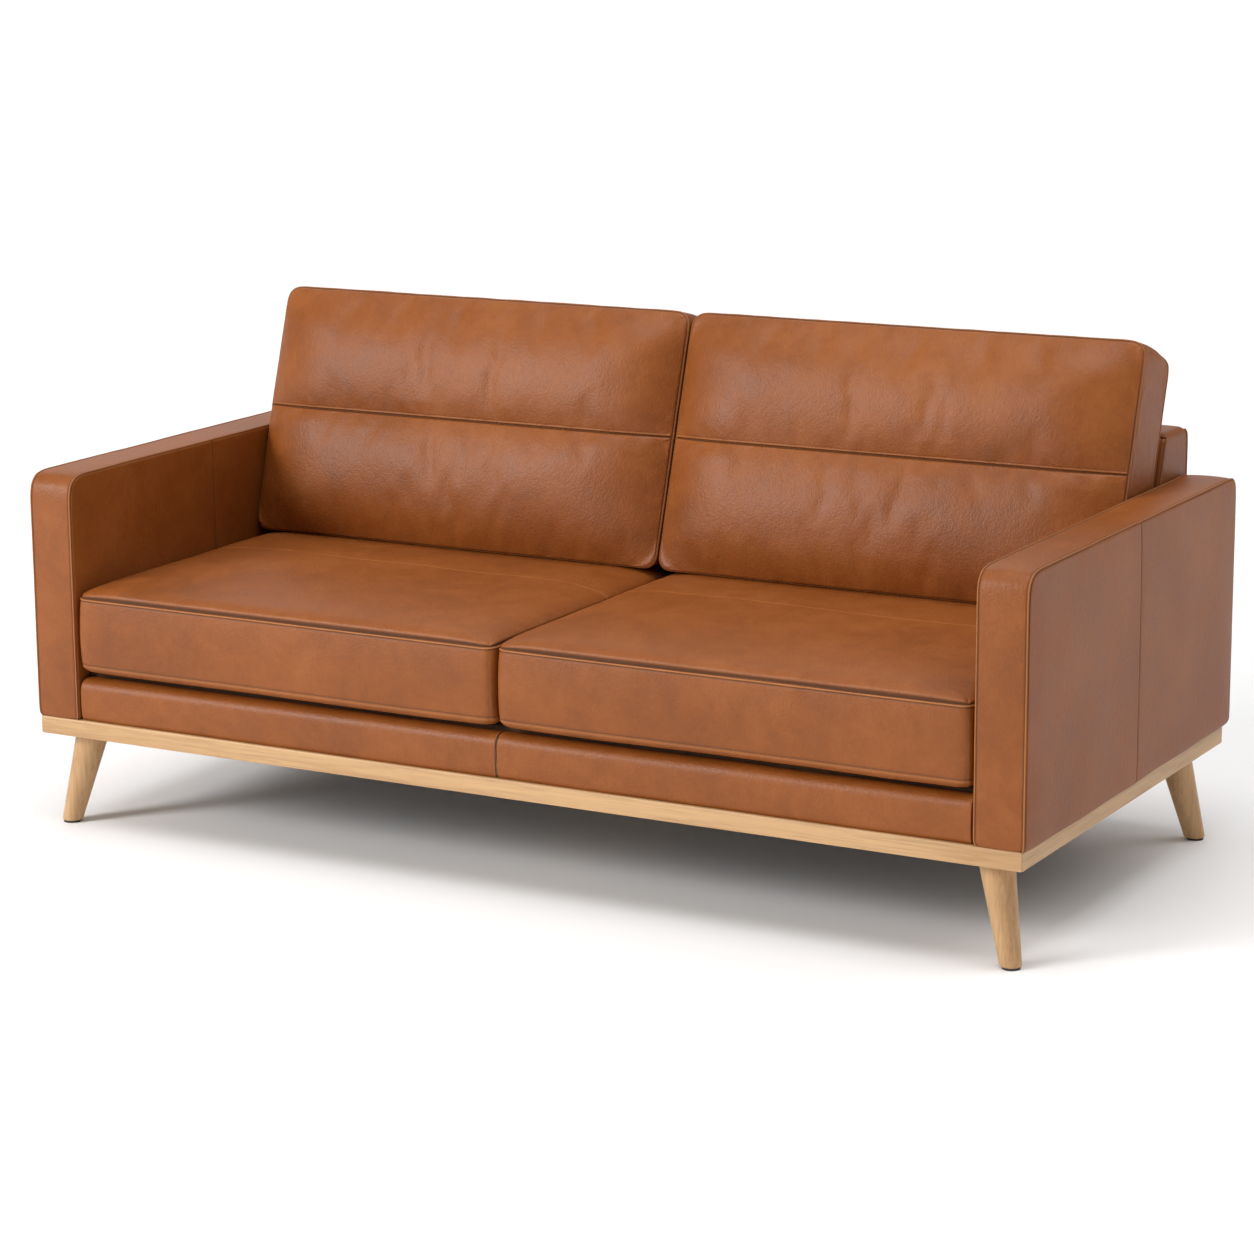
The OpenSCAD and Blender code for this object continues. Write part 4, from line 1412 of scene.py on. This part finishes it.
class SOFA_OT_oak(bpy.types.Operator):
    """Makes the oak base ring and the four splayed legs"""
    bl_idname = "sofa.oak"
    bl_label = "Oak base and legs"

    def execute(self, context):
        timber = context.scene.sofa_timber
        for place, along, inner_first in (("front", 0, False), ("back", 0, True),
                                          ("left", 1, False), ("right", 1, True)):
            node = f"base_rail_{place}"
            bm = mitred_rail(low_of(node), high_of(node), along, inner_first)
            bevelled(bm, timber.edge)
            grain = "oak_x" if along == 0 else "oak_y"
            add_piece(bm, f"oak_rail_{place}", material(grain), "sofa_body", [node],
                      smooth=False)
        for end in ("front", "back"):
            for side in SIDES:
                self.leg(end, side)
        repaint("base_cross_rail", "oak_y")
        repaint("base_corner_blocks", "oak_x")
        return {"FINISHED"}

    def leg(self, end, side):
        """A turned leg: a leaning cone, cut level at the glide and under the rail."""
        node = f"leg_{end}_{side}"
        low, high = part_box(node)
        to_x = 1 if side == "right" else -1
        to_y = -1 if end == "front" else 1
        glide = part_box("leg_glides")
        foot_x = to_x * (glide[1].x - GLIDE_R)
        foot_y = glide[0].y + GLIDE_R if end == "front" else glide[1].y - GLIDE_R
        splay = Vector((SPLAY[0] * to_x, SPLAY[1] * to_y, 0))
        foot = Vector((foot_x, foot_y, 0))
        top = foot - splay + Vector((0, 0, high.z))
        axis = (top - foot).normalized()
        length = (top - foot).length
        over = 0.03  # how far the cone runs past each cut
        taper = (TOP_WIDTH - FOOT_WIDTH) / 2 / length
        turn = axis.to_track_quat("Z", "Y").to_matrix().to_4x4()
        middle = foot + axis * (length / 2)
        bm = bmesh.new()
        bmesh.ops.create_cone(
            bm, cap_ends=True, segments=64, radius1=FOOT_WIDTH / 2 - over * taper,
            radius2=TOP_WIDTH / 2 + over * taper, depth=length + 2 * over,
            matrix=Matrix.Translation(middle) @ turn)
        for height, upward in ((low.z, False), (high.z, True)):
            cut = bmesh.ops.bisect_plane(
                bm, geom=bm.verts[:] + bm.edges[:] + bm.faces[:],
                plane_co=Vector((0, 0, height)), plane_no=Vector((0, 0, 1)),
                clear_outer=upward, clear_inner=not upward)
            rim = [e for e in cut["geom_cut"] if isinstance(e, bmesh.types.BMEdge)]
            bmesh.ops.edgeloop_fill(bm, edges=rim)
        bmesh.ops.recalc_face_normals(bm, faces=bm.faces)
        low_rim = [e for e in bm.edges if len(e.link_faces) == 2 and
                   abs(e.verts[0].co.z - e.verts[1].co.z) < 1e-6 and
                   abs(e.verts[0].co.z - low.z) < TINY]
        bmesh.ops.bevel(bm, geom=low_rim, offset=0.0028, offset_type="OFFSET", segments=4,
                        profile=0.5, affect="EDGES", material=-1)
        piece = add_piece(bm, f"oak_{node}", material("oak_leg"), "sofa_body", [node])
        sharpen(piece)


def sharpen(piece, angle=0.6):
    """Keeps flat ends flat beside a rounded side."""
    mesh = piece.data
    mesh.update()
    bm = bmesh.new()
    bm.from_mesh(mesh)
    for edge in bm.edges:
        if len(edge.link_faces) == 2:
            edge.smooth = edge.calc_face_angle(0) < angle
    bm.to_mesh(mesh)
    bm.free()


def repaint(node, finish):
    """Gives a CAD node that stays a better material."""
    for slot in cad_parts[node].material_slots:
        slot.material = material(finish)
    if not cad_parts[node].material_slots:
        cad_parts[node].data.materials.append(material(finish))


# ---- what is inside, underneath and behind ----

class SOFA_OT_inside(bpy.types.Operator):
    """Makes the webbing, seat deck and dust cover, and finishes the timber and hardware"""
    bl_idname = "sofa.inside"
    bl_label = "Inside and underside"

    def execute(self, context):
        self.seat_deck()
        self.dust_cover()
        self.seat_straps()
        self.back_straps()
        self.frame_finishes()
        return {"FINISHED"}

    def seat_deck(self):
        low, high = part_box("seat_deck")
        near = (0.004, 0.01)
        across = places(low.x, high.x, 0.03, near, near)
        deep = places(low.y, high.y, 0.03, near, near)
        bm = sliced_block(low, high, (across, deep, []))

        def thinner_at_edges(p):
            s = min(p.x - low.x, high.x - p.x, p.y - low.y, high.y - p.y)
            drop = 0.004 * (1 - mound(s, 0.012)) if p.z > high.z - TINY else 0.0
            return Vector((p.x, p.y, p.z - drop))

        shape(bm, thinner_at_edges)
        settle(bm, 0.0008, 0.07, 2.0)
        deck = add_piece(bm, "seat_deck_cloth", material("deck_cloth"), "sofa_body",
                         ["seat_deck"], levels=1)

    def dust_cover(self):
        """A thin cloth, stretched and stapled under the seat."""
        low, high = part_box("dust_cover")
        middle = (low.z + high.z) / 2
        bm = bmesh.new()
        bmesh.ops.create_grid(
            bm, x_segments=70, y_segments=32, size=0.5,
            matrix=Matrix.Translation(((low.x + high.x) / 2, (low.y + high.y) / 2, middle))
            @ Matrix.Diagonal((high.x - low.x, high.y - low.y, 1, 1)))
        for v in bm.verts:
            s = min(v.co.x - low.x, high.x - v.co.x, v.co.y - low.y, high.y - v.co.y)
            v.co.z += 0.0004 * mound(s, 0.05) * noise.noise(v.co * 14)
        dust = add_piece(bm, "dust_cover_cloth", material("dust_cloth"), "sofa_body",
                         ["dust_cover"], thickness=0.0006)

    def frame_finishes(self):
        """Finishes for the CAD nodes that stay."""
        for side in SIDES:
            repaint(f"arm_{side}_side_board", "pine_y")
            repaint(f"arm_{side}_top_board", "pine_y")
            repaint(f"arm_{side}_front_board", "pine_z")
            repaint(f"seat_{side}_zip_slider", "zip_metal")
            repaint(f"back_{side}_zip_slider", "zip_metal")
        for node in ("seat_rail_front", "seat_rail_back", "back_top_rail"):
            repaint(node, "pine_x")
        for place in ("left", "middle", "right"):
            repaint(f"back_rib_{place}", "plywood")
        for node in ("leg_plates", "leg_bolts", "leg_plate_screws", "frame_bolts"):
            repaint(node, "steel")
        repaint("leg_glides", "glide")

    def seat_straps(self):
        low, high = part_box("seat_webbing")
        width = 2 * high_of("apron_cover_right").x
        half = STRAP_WIDTH / 2
        bm = bmesh.new()
        for i in range(SEAT_STRAPS):
            x = -width / 2 + (i + 0.5) * width / SEAT_STRAPS
            one = sliced_block(
                Vector((x - half, low.y, low.z)), Vector((x + half, high.y, high.z)),
                ([x - 0.02, x, x + 0.02], places(low.y, high.y, 0.02), []))
            self.add_strap(bm, one)
        add_piece(bm, "seat_webbing_straps", material("webbing"), "sofa_body",
                  ["seat_webbing"], smooth=False)

    def back_straps(self):
        low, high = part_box("back_webbing")
        half = STRAP_WIDTH / 2
        pitch = (high.x - low.x - STRAP_WIDTH) / (BACK_STRAPS - 1)
        bm = bmesh.new()
        thick = STRAP_THICK / math.cos(LEAN)
        for i in range(BACK_STRAPS):
            x = low.x + half + i * pitch
            one = sliced_block(
                Vector((x - half, 0, low.z)), Vector((x + half, thick, high.z)),
                ([x - 0.02, x, x + 0.02], [], places(low.z, high.z, 0.02)))
            shape(one, lambda p: Vector(
                (p.x, low.y + p.y + (p.z - low.z) * math.tan(LEAN), p.z)))
            self.add_strap(bm, one)
        add_piece(bm, "back_webbing_straps", material("webbing"), "sofa_body",
                  ["back_webbing"], smooth=False)

    def add_strap(self, bm, one):
        """Joins one strap to the others."""
        mesh = bpy.data.meshes.new("strap")
        one.to_mesh(mesh)
        one.free()
        bm.from_mesh(mesh)
        bpy.data.meshes.remove(mesh)


class SOFA_OT_zips(bpy.types.Operator):
    """Makes the zips' tapes and teeth on the backs of the cushions"""
    bl_idname = "sofa.zips"
    bl_label = "Zips"

    def execute(self, context):
        seat_low, seat_high = seat_box()
        start = seat_low.x + ZIP_END
        end = seat_high.x - ZIP_END
        start_y, start_z = back_origin()
        for side in SIDES:
            for kind in ("seat", "back"):
                if kind == "seat":
                    place = Matrix.Translation(
                        (0, seat_high.y, (seat_low.z + high_of("seat_right_cover").z) / 2))
                else:
                    place = (Matrix.Translation((0, start_y, start_z))
                             @ Matrix.Rotation(-LEAN, 4, "X")
                             @ Matrix.Translation((0, BACK_T, ZIP_HEIGHT)))
                teeth = bmesh.new()
                for i in range(int((end - start) / ZIP_PITCH)):
                    to_z = 1 if i % 2 else -1
                    spot = Matrix.Translation((start + (i + 0.5) * ZIP_PITCH, 0.0005,
                                               to_z * 0.0006))
                    size = Matrix.Diagonal((0.0015, 0.0020, 0.0046, 1))
                    bmesh.ops.create_cube(teeth, size=1, matrix=place @ spot @ size)
                tape = bmesh.new()
                rise = 0.0 if kind == "seat" else 0.0022
                size = Matrix.Diagonal((end - start, 0.0012, 0.022, 1))
                spot = Matrix.Translation(((start + end) / 2, rise - 0.0008, 0))
                bmesh.ops.create_cube(tape, size=1, matrix=place @ spot @ size)
                bmesh.ops.subdivide_edges(
                    tape, edges=[e for e in tape.edges if e.calc_length() > 0.1], cuts=60)
                on_side(teeth, side)
                on_side(tape, side)
                body = f"{kind}_cushion_{side}"
                add_piece(teeth, f"{kind}_{side}_zip_teeth", material("zip_metal"), body,
                          smooth=False)
                add_piece(tape, f"{kind}_{side}_zip_tape", material("zip_tape"), body,
                          smooth=False)
        return {"FINISHED"}


# ---- stage ----

# Lights from afar: name and strength, then height, turn and spread in degrees. A turn of 0 is
# in front, and -90 is on the left.
SOFT_LIGHTS = (
    ("front light", 1.15, 31, -33, 18),
    ("rear right light", 0.95, 50, 130, 40),
    ("rear left light", 0.45, 28, -150, 40),
    ("overhead light", 2.35, 82, 0, 40),
)

# The softbox: its width and how far it stands from its aim in metres, its height and turn
SOFTBOX_WIDTH = 2.2
SOFTBOX_AWAY = 7
SOFTBOX_HEIGHT = math.radians(19)
SOFTBOX_TURN = math.radians(-36)
SOFTBOX_AIM = Vector((0, 0, 0.5))

# The camera: where it is, and how far it is turned to the right of the front, raised and rolled
CAMERA_PLACE = Vector((3.0199, -5.4544, 1.7786))
CAMERA_TURN = math.radians(28.996)
CAMERA_HEIGHT = math.radians(12.737)
CAMERA_ROLL = math.radians(-0.3943)

FLOOR_HALF = 150


def direction(turn, height):
    """The direction from the sofa towards a light or the camera."""
    return Vector((math.sin(turn) * math.cos(height), -math.cos(turn) * math.cos(height),
                   math.sin(height)))


class SOFA_OT_stage(bpy.types.Operator):
    """Lays the pale floor, hangs the lights and sets the camera"""
    bl_idname = "sofa.stage"
    bl_label = "Stage"

    def execute(self, context):
        props = context.scene.sofa_stage
        scene = context.scene
        bm = bmesh.new()
        bmesh.ops.create_grid(bm, x_segments=1, y_segments=1, size=FLOOR_HALF)
        mesh = bpy.data.meshes.new("floor")
        bm.to_mesh(mesh)
        bm.free()
        floor = bpy.data.objects.new("floor", mesh)
        scene.collection.objects.link(floor)
        n = Nodes("floor")
        mesh.materials.append(n.finish((*props.floor, 1), 0.9, specular=0.1))
        world = bpy.data.worlds.new("room")
        scene.world = world
        world.use_nodes = True
        back = world.node_tree.nodes["Background"]
        back.inputs["Color"].default_value = (1, 1, 1, 1)
        back.inputs["Strength"].default_value = props.room
        for name, strength, height, turn, spread in SOFT_LIGHTS:
            self.lamp(scene, name, strength * props.lights, height, turn, spread)
        self.softbox(scene, props.softbox)
        scene.view_settings.view_transform = "Standard"
        scene.view_settings.look = "None"
        self.camera(scene, props)
        return {"FINISHED"}

    def lamp(self, scene, name, strength, height, turn, spread):
        light = bpy.data.lights.new(name, "SUN")
        light.energy = strength
        light.angle = math.radians(spread)
        lamp = bpy.data.objects.new(name, light)
        lamp.rotation_euler = (math.radians(90 - height), 0, math.radians(turn))
        scene.collection.objects.link(lamp)

    def softbox(self, scene, power):
        """A round softbox, low in front on the left."""
        light = bpy.data.lights.new("softbox", "AREA")
        light.shape = "DISK"
        light.size = SOFTBOX_WIDTH
        light.energy = power
        lamp = bpy.data.objects.new("softbox", light)
        towards = direction(SOFTBOX_TURN, SOFTBOX_HEIGHT)
        aim = (-towards).to_track_quat("-Z", "Y").to_matrix().to_4x4()
        lamp.matrix_world = Matrix.Translation(SOFTBOX_AIM + towards * SOFTBOX_AWAY) @ aim
        lamp.visible_camera = False
        scene.collection.objects.link(lamp)

    def camera(self, scene, props):
        data = bpy.data.cameras.new("camera")
        data.sensor_width = 36
        data.lens = props.lens
        data.clip_end = 400
        back = direction(CAMERA_TURN, CAMERA_HEIGHT)
        level = Vector((math.cos(CAMERA_TURN), math.sin(CAMERA_TURN), 0))
        upright = back.cross(level)
        right = level * math.cos(CAMERA_ROLL) + upright * math.sin(CAMERA_ROLL)
        up = back.cross(right)
        turn = Matrix((right, up, back)).transposed().to_4x4()
        camera = bpy.data.objects.new("camera", data)
        camera.matrix_world = Matrix.Translation(CAMERA_PLACE) @ turn
        scene.collection.objects.link(camera)
        scene.camera = camera


class SOFA_PT_panel(bpy.types.Panel):
    """Lists the sofa's settings and pieces"""
    bl_idname = "SOFA_PT_panel"
    bl_label = "Leather sofa"
    bl_space_type = "VIEW_3D"
    bl_region_type = "UI"
    bl_category = "Sofa"

    def draw(self, context):
        layout = self.layout
        for name, group in SETTINGS.items():
            box = layout.box()
            box.label(text=group.__doc__)
            for key in group.__annotations__:
                box.prop(getattr(context.scene, name), key)
        for operator in OPERATORS:
            layout.operator(operator.bl_idname)


OPERATORS = (SOFA_OT_seat_cushions, SOFA_OT_back_cushions, SOFA_OT_arms, SOFA_OT_apron,
             SOFA_OT_fixed_back, SOFA_OT_oak, SOFA_OT_inside, SOFA_OT_zips, SOFA_OT_stage)


def register():
    for group in SETTINGS.values():
        bpy.utils.register_class(group)
    for name, group in SETTINGS.items():
        setattr(bpy.types.Scene, name, bpy.props.PointerProperty(type=group))
    for operator in OPERATORS:
        bpy.utils.register_class(operator)
    bpy.utils.register_class(SOFA_PT_panel)


def unregister():
    bpy.utils.unregister_class(SOFA_PT_panel)
    for operator in reversed(OPERATORS):
        bpy.utils.unregister_class(operator)
    for name in SETTINGS:
        delattr(bpy.types.Scene, name)
    for group in reversed(SETTINGS.values()):
        bpy.utils.unregister_class(group)


def main():
    register()
    for operator in OPERATORS:
        family, call = operator.bl_idname.split(".")
        getattr(getattr(bpy.ops, family), call)()


if __name__ == "__main__":
    main()
